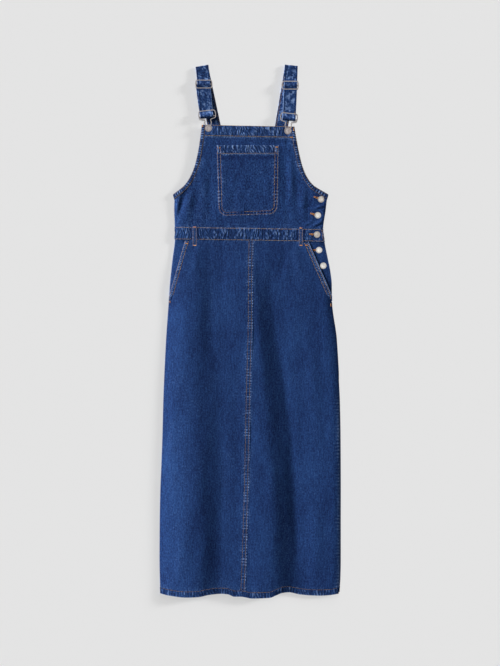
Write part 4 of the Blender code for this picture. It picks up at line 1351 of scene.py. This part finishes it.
        def hem_of(side: Side) -> Outline:
            """A strip along an armhole, from the underarm up."""

            def outline(u: Array, v: Array) -> Arrays:
                """The strip's place at fractions across and up."""
                return FORM.armhole(side, FORM.armhole_share(v), self.hem * u)

            return outline

        chest = Cloth(
            "front_bodice", crowded(150, 0.4), even(120), bodice, FORM.front, CLOTH, Finish.BODICE,
            self.relief, ["back_bodice"],
        ).build()
        hems = [
            Cloth(
                "armhole_hem_" + side.value, even(10), even(260), hem_of(side), FORM.front, TURNED,
                Finish.WORN, self.hem_relief, ["back_bodice"],
            ).build()
            for side in sides
        ]
        top = Cloth(
            "bib_top_band", even(290), even(22), band, FORM.front, BAND, Finish.WORN, self.band_relief,
            ["strap_left", "strap_right"],
        ).build()

        sewing, tacks = Sewing("bib_stitching", radius=0.4), Sewing("bib_tacks", Finish.TACK)
        faded = Sewing("armhole_stitching", Finish.FADED, radius=0.32)
        for hem in hems:
            for across in self.hem_lines:
                v = even(300)[3:-3]
                faded.line(hem.point(np.full(len(v), across / self.hem), v, TURNED + THREAD_LIFT))
        for height in (0.05, 0.975):
            u = even(200)[1:-1]
            sewing.line(top.point(u, np.full(len(u), height), BAND + THREAD_LIFT))
        x, y = np.array([94.0, 100.6]), np.array([BAND_LOW + 0.6, BAND_LOW + 0.6])
        tacks.tack(*FORM.place(x, y, FORM.front(x, y) + BAND + TACK_LIFT), 1.8)
        for hem, share in zip(hems, ((0.975, 0.998), (0.945, 0.985))):
            u, v = np.array([0.35, 0.2]), np.array(share)
            tacks.tack(*hem.point(u, v, TURNED + TACK_LIFT), 2.0)
        x, y = np.array([92.6, 97.6]), np.array([BIB_TOP - 3.4, BIB_TOP - 0.9])
        tacks.tack(*FORM.place(x, y, FORM.front(x, y) + BAND + 0.5), 1.6)
        chest.declare([tacks.build()])
        top.declare([sewing.build()])
        hems[0].declare([faded.build()])
        hems[1].declare()


@dataclass
class ChestPocket:
    """The patch pocket on the bib, with its turned top."""

    low: float = 271.8
    top: float = 434.9
    low_slope: float = 0.045
    top_slope: float = 0.017
    turned: float = 19.9  # the turned top's height
    corner: float = 19.0  # the bottom corners' radius
    sides: tuple = ((-73.3, -78.0), (64.4, 67.2))  # x on the left and the right, at the bottom and the top
    lines: Pair = (1.7, 8.3)  # of stitches, in from its edge

    def ends_at(self, x: Array) -> Arrays:
        """How high the pocket's low and top edges are."""
        return self.low + self.low_slope * x, self.top + self.top_slope * x

    def bounds_at(self, x: Array, y: Array) -> tuple[Array, Array, Array, Array]:
        """The pocket's left, right, low and top edges at places of the pattern."""
        low, top = self.ends_at(x)
        share = (y - low) / (top - low)
        left, right = (first + (last - first) * share for first, last in self.sides)
        return left, right, low, top

    def inside(self, x: Array, y: Array) -> Array:
        """How far places lie inside the pocket's sides and rounded bottom."""
        left, right, low, _ = self.bounds_at(x, y)
        across, up = np.minimum(x - left, right - x), y - low
        rounded = self.corner - np.hypot(self.corner - across, self.corner - up)
        return np.where((across < self.corner) & (up < self.corner), rounded, np.minimum(across, up))

    def rest(self, x: Array, y: Array) -> Array:
        """The pocket's underside, on the bodice."""
        rise = Bib().relief(x, y, x, y)[0]
        return FORM.front(x, y) + CLOTH + GAP + np.maximum(rise, 0.0) * 0.9

    def relief(self, u: Array, v: Array, x: Array, y: Array) -> Arrays:
        """The pocket's ridges between its two lines of stitches, and its plain middle, with painted shade
        under the turned top.
        """
        inside = self.inside(x, y)
        left, right, low, top = self.bounds_at(x, y)
        along = np.where(np.minimum(x - left, right - x) > y - low, x, y)
        puckers = Puckers(
            self.lines[1] + 2.5, self.lines, 7.8, -0.1, ridge=0.55, ridge_wear=0.95, crest=1.5, wander=0.08,
            base=-0.22, seam_dark=0.08, worn_edges=(0.7, 0.0), edge_reach=1.5,
        )
        rise, wear = puckers.at(along, inside)
        border = ramp(inside, self.lines[1] + 2.5, self.lines[1] - 0.5)
        under_hem = top - self.turned - y
        drawn = fringe(x, under_hem, 5.0, 6.0) + 0.8 * fading(under_hem, 1.8)
        drawn = drawn + 1.1 * fringe(along, inside - self.lines[1], 5.0, 7.8)
        plain_rise = 0.35 + 0.25 * SOFT.at(x / 13.0 + 5.0, y / 26.0)
        # Painted shade: a darker band about 8 mm below the turned top.
        shaded = 0.3 * bell(under_hem - 8.0, 4.5)
        plain_wear_and_shade = 0.19 + 0.05 * SOFT.at(x / 12.0, y / 22.0) + 0.06 * FINE.at(x / 4.6, y / 6.5)
        plain_wear_and_shade = plain_wear_and_shade + 0.6 * drawn - shaded
        rise = rise * ramp(inside, -0.2, 1.0) * border + (plain_rise + 0.4 * drawn) * (1 - border)
        return rise, np.clip(wear * border + plain_wear_and_shade * (1 - border), UNFADED, WORN_OUT)

    def top_relief(self, u: Array, v: Array, x: Array, y: Array) -> Arrays:
        """The turned top's worn folds."""
        left, right, _, top = self.bounds_at(x, y)
        puckers = Puckers(
            self.turned, (1.0,), 7.5, 0.5, ridge=0.45, ridge_wear=0.6, crest=2.0, wander=0.7, marble=0.3,
            marble_wear=0.4, stroke=(2.2, 8.0), strokes=0.3, strokes_wear=0.25, base=-0.08, seam_dark=0.1,
            worn_edges=(0.6, 0.3), edge_reach=1.6,
        )
        rise, wear = puckers.at(x + 12.0, y - top + self.turned)
        across = np.minimum(x - left, right - x)
        sunk = sum(bell(across - line, 0.85) for line in self.lines)
        wear = wear + 0.35 * fading(across, 1.0) - 0.2 * sunk
        return rise * np.clip(1 - sunk, 0, 1), np.clip(wear, UNFADED, WORN_OUT)

    def path(self, inset: float) -> Arrays:
        """A line that far inside the edge: down the left side, along the bottom and up the right."""
        reach = self.corner - inset
        turn = np.linspace(0.0, np.pi / 2, 12)
        points = []
        for side, start in ((0, -1), (1, 1)):
            heights = np.linspace(self.top - self.turned - 1.0, self.low + self.corner, 60)
            share = (heights - self.low) / (self.top - self.low)
            bottom, upper = self.sides[side]
            x = bottom + (upper - bottom) * share - start * inset
            rise = self.top_slope * x * share + self.low_slope * x * (1 - share)
            corner_x = bottom - start * (self.corner - 0.1) + start * reach * np.cos(turn)
            corner_y = self.low + self.corner - reach * np.sin(turn)
            corner_y = corner_y + self.low_slope * corner_x
            line = np.concatenate((x, corner_x)), np.concatenate((heights + rise, corner_y))
            points.append(line if side == 0 else tuple(part[::-1] for part in line))
        return tuple(np.concatenate(parts) for parts in zip(*points))

    def build(self) -> None:
        """Makes the pocket and sews it."""
        height = self.top - self.low

        def outline(u: Array, s: Array) -> Arrays:
            """The pocket's place at fractions across and up."""
            left, right = (first + (last - first) * s for first, last in self.sides)
            short = np.clip(self.corner - s * height, 0.0, self.corner)
            cut = self.corner - np.sqrt(np.maximum(self.corner**2 - short**2, 0.0))
            x = left + cut + (right - left - 2 * cut) * u
            low, top = self.ends_at(x)
            return x, low + (top - low) * s

        curve = self.corner / height * (1 - np.cos(np.linspace(0.0, np.pi / 2, 15)))
        hem = 1 - self.turned / height
        rows = np.concatenate((curve, np.linspace(curve[-1], hem - 0.15 / height, 110)[1:]))
        patch = Cloth(
            "bib_pocket", crowded(128, 0.4), rows, outline, self.rest, CLOTH, Finish.BODICE, self.relief,
            ["front_bodice"],
        ).build()
        band = Cloth(
            "bib_pocket_hem", even(190), np.linspace(hem, 1.0, 20), outline, self.rest, TURNED, Finish.WORN,
            self.top_relief, ["front_bodice"],
        ).build()

        sewing, tacks = Sewing("pocket_stitching", radius=0.33), Sewing("pocket_tacks", Finish.TACK)
        for inset in self.lines:
            x, y = self.path(inset)
            sewing.line(patch.over(x, y, CLOTH + THREAD_LIFT))
            for (bottom, upper), inward in zip(self.sides, (1, -1)):
                x = bottom + (upper - bottom) * np.linspace(hem, 1, 12) + inset * inward
                y = np.linspace(self.top - self.turned + 1.0, self.top - 1.5, 12) + self.top_slope * x
                sewing.line(band.over(x, y, TURNED + THREAD_LIFT))
        x = np.linspace(self.sides[0][1] + 0.6, self.sides[1][1] - 0.6, 80)
        sewing.line(band.over(x, self.top - self.turned + 1.0 + 0.02 * x, TURNED + THREAD_LIFT))
        for (_, upper), inward, drop in zip(self.sides, (1, -1), (6.2, 4.0)):
            x = upper + inward * np.array([2.0, 8.0])
            y = np.full(2, self.top - drop) + self.top_slope * x
            tacks.tack(*band.over(x, y, TURNED + TACK_LIFT), 2.0)
        patch.declare([sewing.build()])
        band.declare([tacks.build()])


@dataclass
class Back:
    """The back bodice, and the strip on it that carries the side buttons."""

    placket: tuple[float, float, float] = (150.0, 135.0, 310.0)  # the strip's inner x, low end and top end

    def build(self) -> None:
        """Makes both pieces."""
        low, split, start = WAIST_TOP + GAP, 0.48, 314.0

        def bodice(u: Array, v: Array) -> Arrays:
            """Rows that end on the side seams, then on the back's armholes."""
            t = np.clip(1 - (v - split) / (1 - split), 0.0, 1.0)
            y = np.where(v < split, low + (start - low) * v / split, bezier(FORM.BACK_ARMHOLE["y"], t))
            straight = [FORM.back_edge(side, y) for side in Side]
            curved = [bezier(FORM.BACK_ARMHOLE[side.value], t) for side in Side]
            blend = ramp(v, split - 0.12, split)
            left, right = (s + (c - s) * np.where(v < split, blend, 1.0) for s, c in zip(straight, curved))
            return left + (right - left) * u, y

        back = Cloth("back_bodice", crowded(60, 0.5), even(70), bodice, on_floor, CLOTH, relief=self.relief)
        inner_x, placket_low, placket_top = self.placket
        strip = rows_between(
            lambda y: inner_x + 0 * y, lambda y: FORM.outline(Side.RIGHT, y) - 4.0, placket_low, placket_top
        )
        placket = Cloth(
            "side_placket", even(8), even(50), strip, lambda x, y: 0 * x + CLOTH + GAP, CLOTH,
            relief=unwrinkled, rests_on=["back_bodice", "waistband_back", "back_skirt"],
        )
        back.build()
        placket.build()
        back.declare()
        placket.declare()

    def relief(self, u: Array, v: Array, x: Array, y: Array) -> Arrays:
        """Slight folds in the middle, which leave the edges on the floor."""
        lifted = np.clip(BROAD.at(x / 24.0, y / 60.0) + 0.3, 0.0, 1.0)
        calm = ramp(np.minimum(u, 1 - u), 0.12, 0.3) * ramp(y, 388.0, 370.0) * ramp(y, 243.0, 260.0)
        return 0.3 * lifted * calm, np.full(np.shape(x), 0.2)


@dataclass
class Strap:
    """One strap with its slider and clasp: up from the back, over a fold, and round the clasp's bar.

    Attributes:
        back: The run behind: its x at the back's top, and its slope.
        front: The run in front: its x at the clasp's bar, and its slope.
        fold: The top fold's x, y and slant in degrees.
        slider: The slider's place, and button that of the clasp's button.
        lean: How far the clasp is turned, in degrees.
        half: Half the strap's width, and under_half that of its end under the slider.
        under_shift: How far to the side that end lies.
        clasp_z: The height of the clasp's wire, and slider_z that of the slider's.
        clasp_bar: How far beyond the button the clasp's bar is, and clasp_top its top.
        clasp_half: The right half of the clasp's wire, and slider_half that of the slider's.
    """

    side: Side
    back: Pair
    front: Pair
    fold: tuple[float, float, float]
    slider: Pair
    button: Pair
    lean: float
    half: float = 15.2
    under_half: float = 15.7
    under_shift: float = 0.0
    fold_radius: float = 1.6
    wire_radius: float = 1.1
    clasp_z: float = 8.6
    slider_z: float = 8.2
    clasp_bar: float = 27.8
    clasp_top: float = 41.2
    clasp_half: tuple = (
        (0.0, -4.0), (3.8, -2.4), (5.0, 2.5), (6.6, 8.0), (7.8, 13.5), (6.8, 18.0), (8.2, 20.7), (14.4, 22.4),
        (18.3, 24.2), (19.6, 28.5), (19.2, 36.5), (15.8, 41.0), (0.0, 41.2),
    )
    slider_half: tuple = (
        (0.0, 9.1), (13.5, 9.1), (17.8, 7.6), (19.0, 0.0), (17.8, -7.6), (13.5, -9.1), (0.0, -9.1),
    )

    def row(self, x: float, y: float, z: float, turn: float, half: float) -> Array:
        """A cross line: its middle in the part's frame, and its half width, turned by degrees."""
        angle = math.radians(turn)
        middle = FORM.straight(np.array(x), np.array(y), np.array(z))
        return np.concatenate((middle, (half * MM * math.cos(angle), half * MM * math.sin(angle), 0.0)))

    def stations(self) -> Array:
        """The strap's cross lines, from the back bodice over the top fold to the slider's bar."""
        lean = math.radians(self.lean)
        shift = (self.front[0] - self.button[0]) * math.tan(lean)
        bar_y, clasp_top_y = (
            self.button[1] + shift + reach / math.cos(lean) for reach in (self.clasp_bar, self.clasp_top)
        )
        back_turn = -math.degrees(math.atan(self.back[1]))

        def behind(y: float, z: float) -> Array:
            """A line of the run behind."""
            return self.row(self.back[0] + self.back[1] * (y - BACK_TOP), y, z, back_turn, self.half)

        def before(y: float, z: float, turn: float, half: float = self.half, shift: float = 0.0) -> Array:
            """A line of the run in front."""
            return self.row(self.front[0] + self.front[1] * (y - bar_y) + shift, y, z, turn, half)

        def folded(angle: float) -> Array:
            """A line of the top fold."""
            slant, turn = math.radians(self.fold[2]), math.radians(angle)
            out = self.fold_radius * math.cos(turn)
            z = TURNED / 2 + self.fold_radius * (1 + math.sin(turn))
            x, y = self.fold[0] - math.sin(slant) * out, self.fold[1] + math.cos(slant) * out
            return self.row(x, y, z, self.fold[2], self.half)

        def wrapped(angle: float) -> Array:
            """A line of the turn round the clasp's bar."""
            radius, turn = self.wire_radius + GAP + 0.05 + TURNED / 2, math.radians(angle)
            half = self.half + (self.under_half - self.half) * angle / 180
            y, z = bar_y - radius * math.sin(turn), self.clasp_z + radius * math.cos(turn)
            return before(y, z, self.lean, half)

        clear = self.wire_radius + GAP + 0.1 + TURNED / 2
        under, over, flat = self.slider_z - clear + 1.0, self.slider_z + clear - 2.0, TURNED / 2
        under_clasp, on_bodice = self.clasp_z - clear, CLOTH + GAP + TURNED / 2
        below = self.slider_z - clear - TURNED - GAP
        slider_y, low = self.slider[1], self.clasp_z - clear - TURNED - GAP - 0.1
        lines = [behind(y, z) for y, z in ((380.0, on_bodice), (401.0, on_bodice), (414.0, flat))]
        lines += [behind(y, flat) for y in (480.0, 550.0, self.fold[1] - 8.0)]
        lines += [folded(angle) for angle in (-90, -45, 0, 45, 90)]
        down = ((26.0, 4.3), (13.0, 5.0), (11.4, under), (8.4, under), (1.6, over))
        down += ((-1.6, over), (-8.4, under), (-11.4, under), (-24.0, under))
        lines += [before(slider_y + dy, z, 0.0) for dy, z in down]
        clasped = ((clasp_top_y + 4.0, under_clasp), (clasp_top_y - 3.5, under_clasp))
        clasped += ((bar_y + 3.5, self.clasp_z + 2.3),)
        lines += [before(y, z, self.lean) for y, z in clasped]
        lines += [wrapped(angle) for angle in (0, 36, 72, 108, 144, 180)]
        lines.append(before(bar_y + 7.0, low, self.lean, self.under_half))
        lines.append(before(clasp_top_y + 8.0, low, self.lean, self.under_half, 0.4 * self.under_shift))
        end = ((-24.0, below), (-5.0, below), (-2.0, under - 0.8), (1.0, under))
        lines += [before(slider_y + dy, z, 0.0, self.under_half, self.under_shift) for dy, z in end]
        return np.array(lines)

    def smooth(self, lines: Array, spacing: float) -> Arrays:
        """Rounds the run by cutting its corners, and reads it at even steps.

        Args:
            lines: The cross lines.
            spacing: The step in millimetres.

        Returns:
            The closer lines, and how far along the strap each is, in millimetres.
        """
        for _ in range(3):
            first, last = lines[:-1] * 0.75 + lines[1:] * 0.25, lines[:-1] * 0.25 + lines[1:] * 0.75
            lines = np.concatenate((lines[:1], np.stack((first, last), axis=1).reshape(-1, 6), lines[-1:]))
        steps = np.linalg.norm(np.diff(lines[:, :3], axis=0), axis=1)
        lengths = np.concatenate(([0.0], np.cumsum(steps))) / MM
        at = np.linspace(0.0, lengths[-1], max(round(lengths[-1] / spacing), 2))
        return np.stack([np.interp(at, lengths, lines[:, i]) for i in range(6)], axis=-1), at

    def ribbon(self) -> tuple[bpy.types.Object, Array, Array]:
        """Makes the strap's cloth.

        Returns:
            The piece, its points by column and row, and the way up from its surface at each row.
        """
        lines, along = self.smooth(self.stations(), 1.1)
        columns, rows, name = 22, len(along) - 1, "strap_" + self.side.value
        mesh, column, row = woven(name, columns, rows)
        tangent = np.gradient(lines[:, :3], axis=0)
        normal = np.cross(lines[:, 3:], tangent)
        normal /= np.linalg.norm(normal, axis=1)[:, None]
        share = column / columns * 2 - 1
        across, run = (share + 1) * self.half, along[row]
        puckers = Puckers(
            2 * self.half, (2.6, 2 * self.half - 2.6), 8.5, -0.4, ridge=0.2, ridge_wear=0.3, crest=2.0,
            wander=0.9, marble=0.2, marble_wear=0.25, stroke=(3.4, 3.2), strokes=0.5, strokes_wear=0.6,
            base=0.0, worn_edges=(0.1, 0.1), phase=3.7 if self.side is Side.LEFT else 9.1,
        )
        rise, wear = puckers.at(run, across)
        # A painted rim highlight: a pale line along each strap's inner edge on its front run, over the edge's
        # own slight fading.
        off_highlit_edge = across if self.side is Side.RIGHT else 2 * self.half - across
        wear = np.clip(wear + 0.8 * fading(off_highlit_edge, 1.1) * ramp(run, 270.0, 290.0), UNFADED, WORN_OUT)
        calm = ramp(np.abs(share), 1.0, 0.8) * 0.5
        points = lines[row, :3] + lines[row, 3:] * share[:, None]
        points = points + normal[row] * ((rise - 0.1) * calm * MM)[:, None]
        mesh.vertices.foreach_set("co", points.ravel())
        stamp(mesh, np.stack((across, run), axis=-1) * MM, wear)
        mesh.update()
        piece = put(name + "_cloth", mesh, Finish.WORN, [name])
        thicken(piece, TURNED - 0.1, 0.0, 0.6)
        grid = np.empty((columns + 1, rows + 1, 3))
        grid[column, row] = points
        return piece, grid, normal

    def loop(self, half: Sequence[Pair], per_span: int) -> list[Vector]:
        """A closed smooth loop through the points of its right half, mirrored."""
        corners = [Vector((x, y, 0.0)) for x, y in (*half, *((-x, y) for x, y in reversed(half) if x > 0))]
        made = []
        for i, start in enumerate(corners):
            end, beyond = corners[(i + 1) % len(corners)], corners[(i + 2) % len(corners)]
            leave, arrive = (end - corners[i - 1]) / 2, (beyond - start) / 2
            for k in range(per_span):
                s = k / per_span
                bend = leave * s * (1 - s) ** 2 - arrive * s * s * (1 - s)
                made.append(start.lerp(end, s * s * (3 - 2 * s)) + bend)
        return made

    def hardware(
        self, name: str, half: Sequence, bar_y: float, origin: Pair, z: float, lean: float
    ) -> None:
        """Makes a wire frame with a bar across it.

        Args:
            name: Its solid's name.
            half: The right half of the frame, round its origin.
            bar_y: How far above the origin the bar is.
            origin: The origin's x and y.
            z: Its height.
            lean: How far it is turned, in degrees.
        """
        reach = max(x for x, _ in half) - 0.4 * self.wire_radius
        made = bmesh.new()
        wire(made, self.loop(half, 6), self.wire_radius, True)
        wire(made, [Vector((side * reach, bar_y, 0.0)) for side in (-1, 0, 1)], self.wire_radius, False)
        middle = FORM.straight(np.array(origin[0]), np.array(origin[1]), np.array(z))
        turn = Matrix.Translation(Vector(middle)) @ Matrix.Rotation(math.radians(lean), 4, "Z")
        bmesh.ops.transform(made, matrix=turn, verts=made.verts[:])
        bmesh.ops.recalc_face_normals(made, faces=made.faces[:])
        put(name + "_wire", mesh_of(made, name), Finish.WIRE, [name])

    def build(self) -> None:
        """Makes the strap, its stitches and its hardware."""
        piece, grid, normal = self.ribbon()
        sewing = Sewing(f"strap_{self.side.value}_stitching", pitch=3.4, radius=0.34)
        rows = np.arange(grid.shape[1])
        length = len(rows)
        bar_row = int(length * 0.93)
        up = normal * (1 if normal[length // 2, 2] > 0 else -1)
        for column in (2, -3):
            line = grid[column] + up * (TURNED / 2 + 0.02) * MM
            high = np.flatnonzero((up[:, 2] > 0.5) & (rows < bar_row))
            sewing.line(line[high])
        threads = sewing.build()
        name = self.side.value
        self.hardware("clasp_" + name, self.clasp_half, self.clasp_bar, self.button, self.clasp_z, self.lean)
        self.hardware("slider_" + name, self.slider_half, 0.0, self.slider, self.slider_z, 0.0)
        declare(grid)


@dataclass
class Button:
    """A shank button, turned on its node's place, with its buttonhole where it has one.

    Attributes:
        node: Its solid's name.
        radius: Its head's radius, shank its shank's and head its head's height.
        tip: How far across and up from the shank its buttonhole ends.
        tilt: How far its head leans about x and y, in degrees.
    """

    node: str
    radius: float
    shank: float = 2.2
    head: float = 2.5
    tip: Pair | None = None
    tilt: Pair = (0.0, 0.0)
    finish: Finish = Finish.NICKEL

    def build(self, holes: Sewing | None = None, cloth_top: Callable | None = None) -> None:
        """Makes the button.

        Args:
            holes: The thread of the buttonholes.
            cloth_top: The height of the cloth round the button, over the pattern.
        """
        low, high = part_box(self.node)
        middle = (low + high) / 2
        base, head, r = low.z / MM, high.z / MM - self.head, self.radius
        profile = (
            (0.0, head + 1.95), (r * 0.30, head + 1.9), (r * 0.52, head + 1.78), (r * 0.66, head + 1.72),
            (r * 0.72, head + 1.86), (r * 0.78, head + 2.25), (r * 0.84, head + 2.45),
            (r * 0.91, head + 2.42), (r * 0.97, head + 2.1), (r, head + 1.55), (r * 0.985, head + 0.95),
            (r * 0.93, head + 0.5), (r * 0.8, head + 0.2), (r * 0.55, head + 0.05), (self.shank, head),
            (self.shank, base), (0.0, base),
        )
        made = bmesh.new()
        verts = [made.verts.new((x * MM, 0.0, z * MM)) for x, z in profile]
        edges = [made.edges.new(pair) for pair in zip(verts, verts[1:])]
        bmesh.ops.spin(
            made, geom=verts + edges, cent=(0, 0, 0), axis=(0, 0, 1), angle=math.tau, steps=48, use_merge=True
        )
        bmesh.ops.remove_doubles(made, verts=made.verts[:], dist=1e-6)
        bmesh.ops.recalc_face_normals(made, faces=made.faces[:])
        pivot = Vector((0.0, 0.0, head * MM))
        about_x, about_y = (math.radians(part) for part in self.tilt)
        lean = Matrix.Rotation(about_x, 4, "X") @ Matrix.Rotation(about_y, 4, "Y")
        lean = Matrix.Translation(pivot) @ lean @ Matrix.Translation(-pivot)
        caps = [vert for vert in made.verts if vert.co.z > (head - 0.01) * MM]
        bmesh.ops.transform(made, matrix=lean, verts=caps)
        bmesh.ops.translate(made, vec=(middle.x, middle.y, 0.0), verts=made.verts[:])
        piece = put(self.node + "_metal", mesh_of(made, self.node), self.finish, [self.node])
        piece.data.set_sharp_from_angle(angle=math.radians(40))
        if holes and cloth_top and self.tip:
            self.buttonhole(holes, cloth_top, FORM.pattern(middle))

    def buttonhole(self, holes: Sewing, cloth_top: Callable, centre: Pair) -> None:
        """Satin stitches round a hole that runs from the shank to its tip."""
        run = np.array(self.tip)
        length = float(np.linalg.norm(run))
        ahead = run / length
        aside = np.array([-ahead[1], ahead[0]])
        start = np.array(centre)
        for share in even(round(length / 0.6)):
            reach = share * length
            if reach < self.radius - 2.5:
                continue
            spread = 2.2 * (1 - 0.45 * ramp(reach, self.radius, length)) + 0.3
            for sign in (-1, 1):
                ends = [start + ahead * reach + aside * sign * off for off in (0.15, spread)]
                x, y = np.array([p[0] for p in ends]), np.array([p[1] for p in ends])
                holes.thread(*FORM.place(x, y, cloth_top(x, y) + 0.22), 0.4)


@dataclass
class Studio:
    """The pale floor, the soft lights and the camera straight above; lengths here are metres."""

    lens: float = 65.0
    distance: float = 2.815
    cloth_height: float = 0.006
    aim: Pair = (-0.00047, -0.00459)
    key: float = 10.6
    key_from: Pair = (-65.0, 14.0)
    softbox: float = 1.2
    softbox_side: float = 1.5
    softbox_at: tuple[float, float, float] = (-0.1, 0.1, 3.6)
    ambient: float = 0.12
    surround: float = 0.5
    floor_half: float = 20.0
    floor_z: float = -0.0004
    floor_sun: float = 2.0
    floor_side: float = 2.0
    floor_side_from: Pair = (72.0, 12.5)
    floor_low: float = 2.6
    floor_low_from: Pair = (10.0, 4.6)

    def sun(self, name: str, strength: float, source: Pair, angle: float) -> bpy.types.Object:
        """A distant light.

        Args:
            name: Its name.
            strength: Its strength.
            source: Where it stands: degrees clockwise from the straps' end, and degrees up from the floor.
            angle: How wide it looks, in degrees.

        Returns:
            The light.
        """
        light = bpy.data.lights.new(name, "SUN")
        light.energy, light.angle = strength, math.radians(angle)
        obj = bpy.data.objects.new(name, light)
        round_, up = (math.radians(part) for part in source)
        toward = Vector((math.sin(round_) * math.cos(up), math.cos(round_) * math.cos(up), math.sin(up)))
        obj.rotation_euler = toward.to_track_quat("Z", "Y").to_euler()
        bpy.context.scene.collection.objects.link(obj)
        return obj

    def build(self) -> None:
        """Makes the studio round the finished dress."""
        scene = bpy.context.scene
        camera = bpy.data.cameras.new("camera")
        camera.lens, camera.clip_end = self.lens, 50.0
        view = bpy.data.objects.new("camera", camera)
        view.location = (*self.aim, self.distance + self.cloth_height)
        scene.collection.objects.link(view)
        scene.camera = view
        scene.view_settings.view_transform = "Standard"

        made = bmesh.new()
        bmesh.ops.create_grid(made, x_segments=1, y_segments=1, size=self.floor_half)
        bmesh.ops.translate(made, vec=(0.0, 0.0, self.floor_z), verts=made.verts[:])
        mesh = mesh_of(made, "floor")
        mesh.materials.append(material_of(FloorFinish("pale_floor")))
        floor = bpy.data.objects.new("floor", mesh)
        scene.collection.objects.link(floor)
        floor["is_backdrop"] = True

        groups = ("lit_dress", "lit_cloth", "shading_cloth", "back_cloth", "lit_floor")
        lit = {name: bpy.data.collections.new(name) for name in groups}
        metals = [finish.material for finish in Finish if finish.slot == "nickel"]
        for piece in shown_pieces():
            lit["lit_dress"].objects.link(piece)
            if piece.data.materials[0] in metals:
                continue
            lit["lit_cloth"].objects.link(piece)
            if not piece.name.startswith(("bib_pocket", "belt_loop")):
                lit["shading_cloth"].objects.link(piece)
            if piece.name.startswith(("back_", "hem_back")):
                lit["back_cloth"].objects.link(piece)
        lit["lit_floor"].objects.link(floor)
        over = bpy.data.lights.new("softbox", "AREA")
        over.shape, over.size = "SQUARE", self.softbox_side
        over.energy = self.softbox * self.softbox_side**2 * math.pi
        box = bpy.data.objects.new("softbox", over)
        box.location = self.softbox_at
        scene.collection.objects.link(box)
        box.light_linking.receiver_collection = lit["lit_dress"]
        key = self.sun("key", self.key, self.key_from, 20.0)
        key.light_linking.receiver_collection = lit["lit_cloth"]
        key.light_linking.blocker_collection = lit["shading_cloth"]
        above = self.sun("floor_light", self.floor_sun, (0.0, 90.0), 2.0)
        aside = self.sun("floor_side_light", self.floor_side, self.floor_side_from, 8.0)
        low = self.sun("floor_low_light", self.floor_low, self.floor_low_from, 8.0)
        low.light_linking.blocker_collection = lit["back_cloth"]
        for light in (above, aside, low):
            light.light_linking.receiver_collection = lit["lit_floor"]

        world = bpy.data.worlds.new("studio")
        scene.world = world
        graph = Graph(world)
        mirrored = graph.node("ShaderNodeLightPath").outputs["Is Glossy Ray"]
        tone = graph.mix((self.ambient,) * 3 + (1.0,), (self.surround,) * 3 + (1.0,), mirrored)
        shade = graph.node("ShaderNodeBackground", {}, {"Color": tone, "Strength": 1.0})
        graph.node("ShaderNodeOutputWorld", {}, {"Surface": shade.outputs[0]})


def main() -> None:
    """Builds the dress, then the studio."""
    logging.basicConfig(level=logging.INFO, format="%(name)s %(message)s")
    Skirt().build()
    for side in Side:
        HipPocket(side).build()
    Waist().build()
    Bib().build()
    ChestPocket().build()
    Back().build()
    Strap(
        Side.LEFT, back=(-66.2, -0.2124), front=(-101.0, -0.0930), fold=(-112.2, 620.0, 10.0),
        slider=(-107.9, 578.2), button=(-96.9, 474.9), lean=6.2, under_shift=-3.0,
    ).build()
    Strap(
        Side.RIGHT, back=(60.3, 0.1655), front=(91.2, 0.0456), fold=(96.6, 621.1, -5.7),
        slider=(94.1, 575.6), button=(88.3, 468.5), lean=-5.6,
    ).build()
    for side, tilt in ((Side.LEFT, (8.0, -6.0)), (Side.RIGHT, (8.0, 4.0))):
        Button("bib_button_" + side.value, radius=8.5, tilt=tilt, finish=Finish.AGED).build()
    holes = Sewing("buttonholes", Finish.BUTTONHOLE)

    def top_of(lift: float, relief: Relief) -> Field:
        """The upper side of a layer that far above the front's underside."""
        return lambda x, y: FORM.front(x, y) + lift + relief(x, y, x, y)[0]

    bodice_top, band_top = top_of(CLOTH, Bib().relief), top_of(TURNED, Waist().relief)
    hip_top = top_of(-GAP, unwrinkled)
    # Buttons 2, 4 and 5 take the lighter copy of the nickel, a painted reflection.
    side_buttons = (
        (bodice_top, (-16.5, 7.3), (3.0, -2.0), Finish.NICKEL),
        (bodice_top, (-17.2, 4.2), (0.0, 0.0), Finish.BRIGHT),
        (band_top, (-18.0, 0.7), (5.0, 3.0), Finish.NICKEL),
        (hip_top, (-15.2, -0.4), (0.0, -2.0), Finish.BRIGHT),
        (hip_top, None, (-2.0, 0.0), Finish.BRIGHT),
    )
    for number, (layer, tip, tilt, finish) in enumerate(side_buttons, 1):
        Button(f"side_button_{number}", radius=7.7, tip=tip, tilt=tilt, finish=finish).build(holes, layer)
    holes.build()
    Studio().build()


if __name__ == "__main__":
    main()
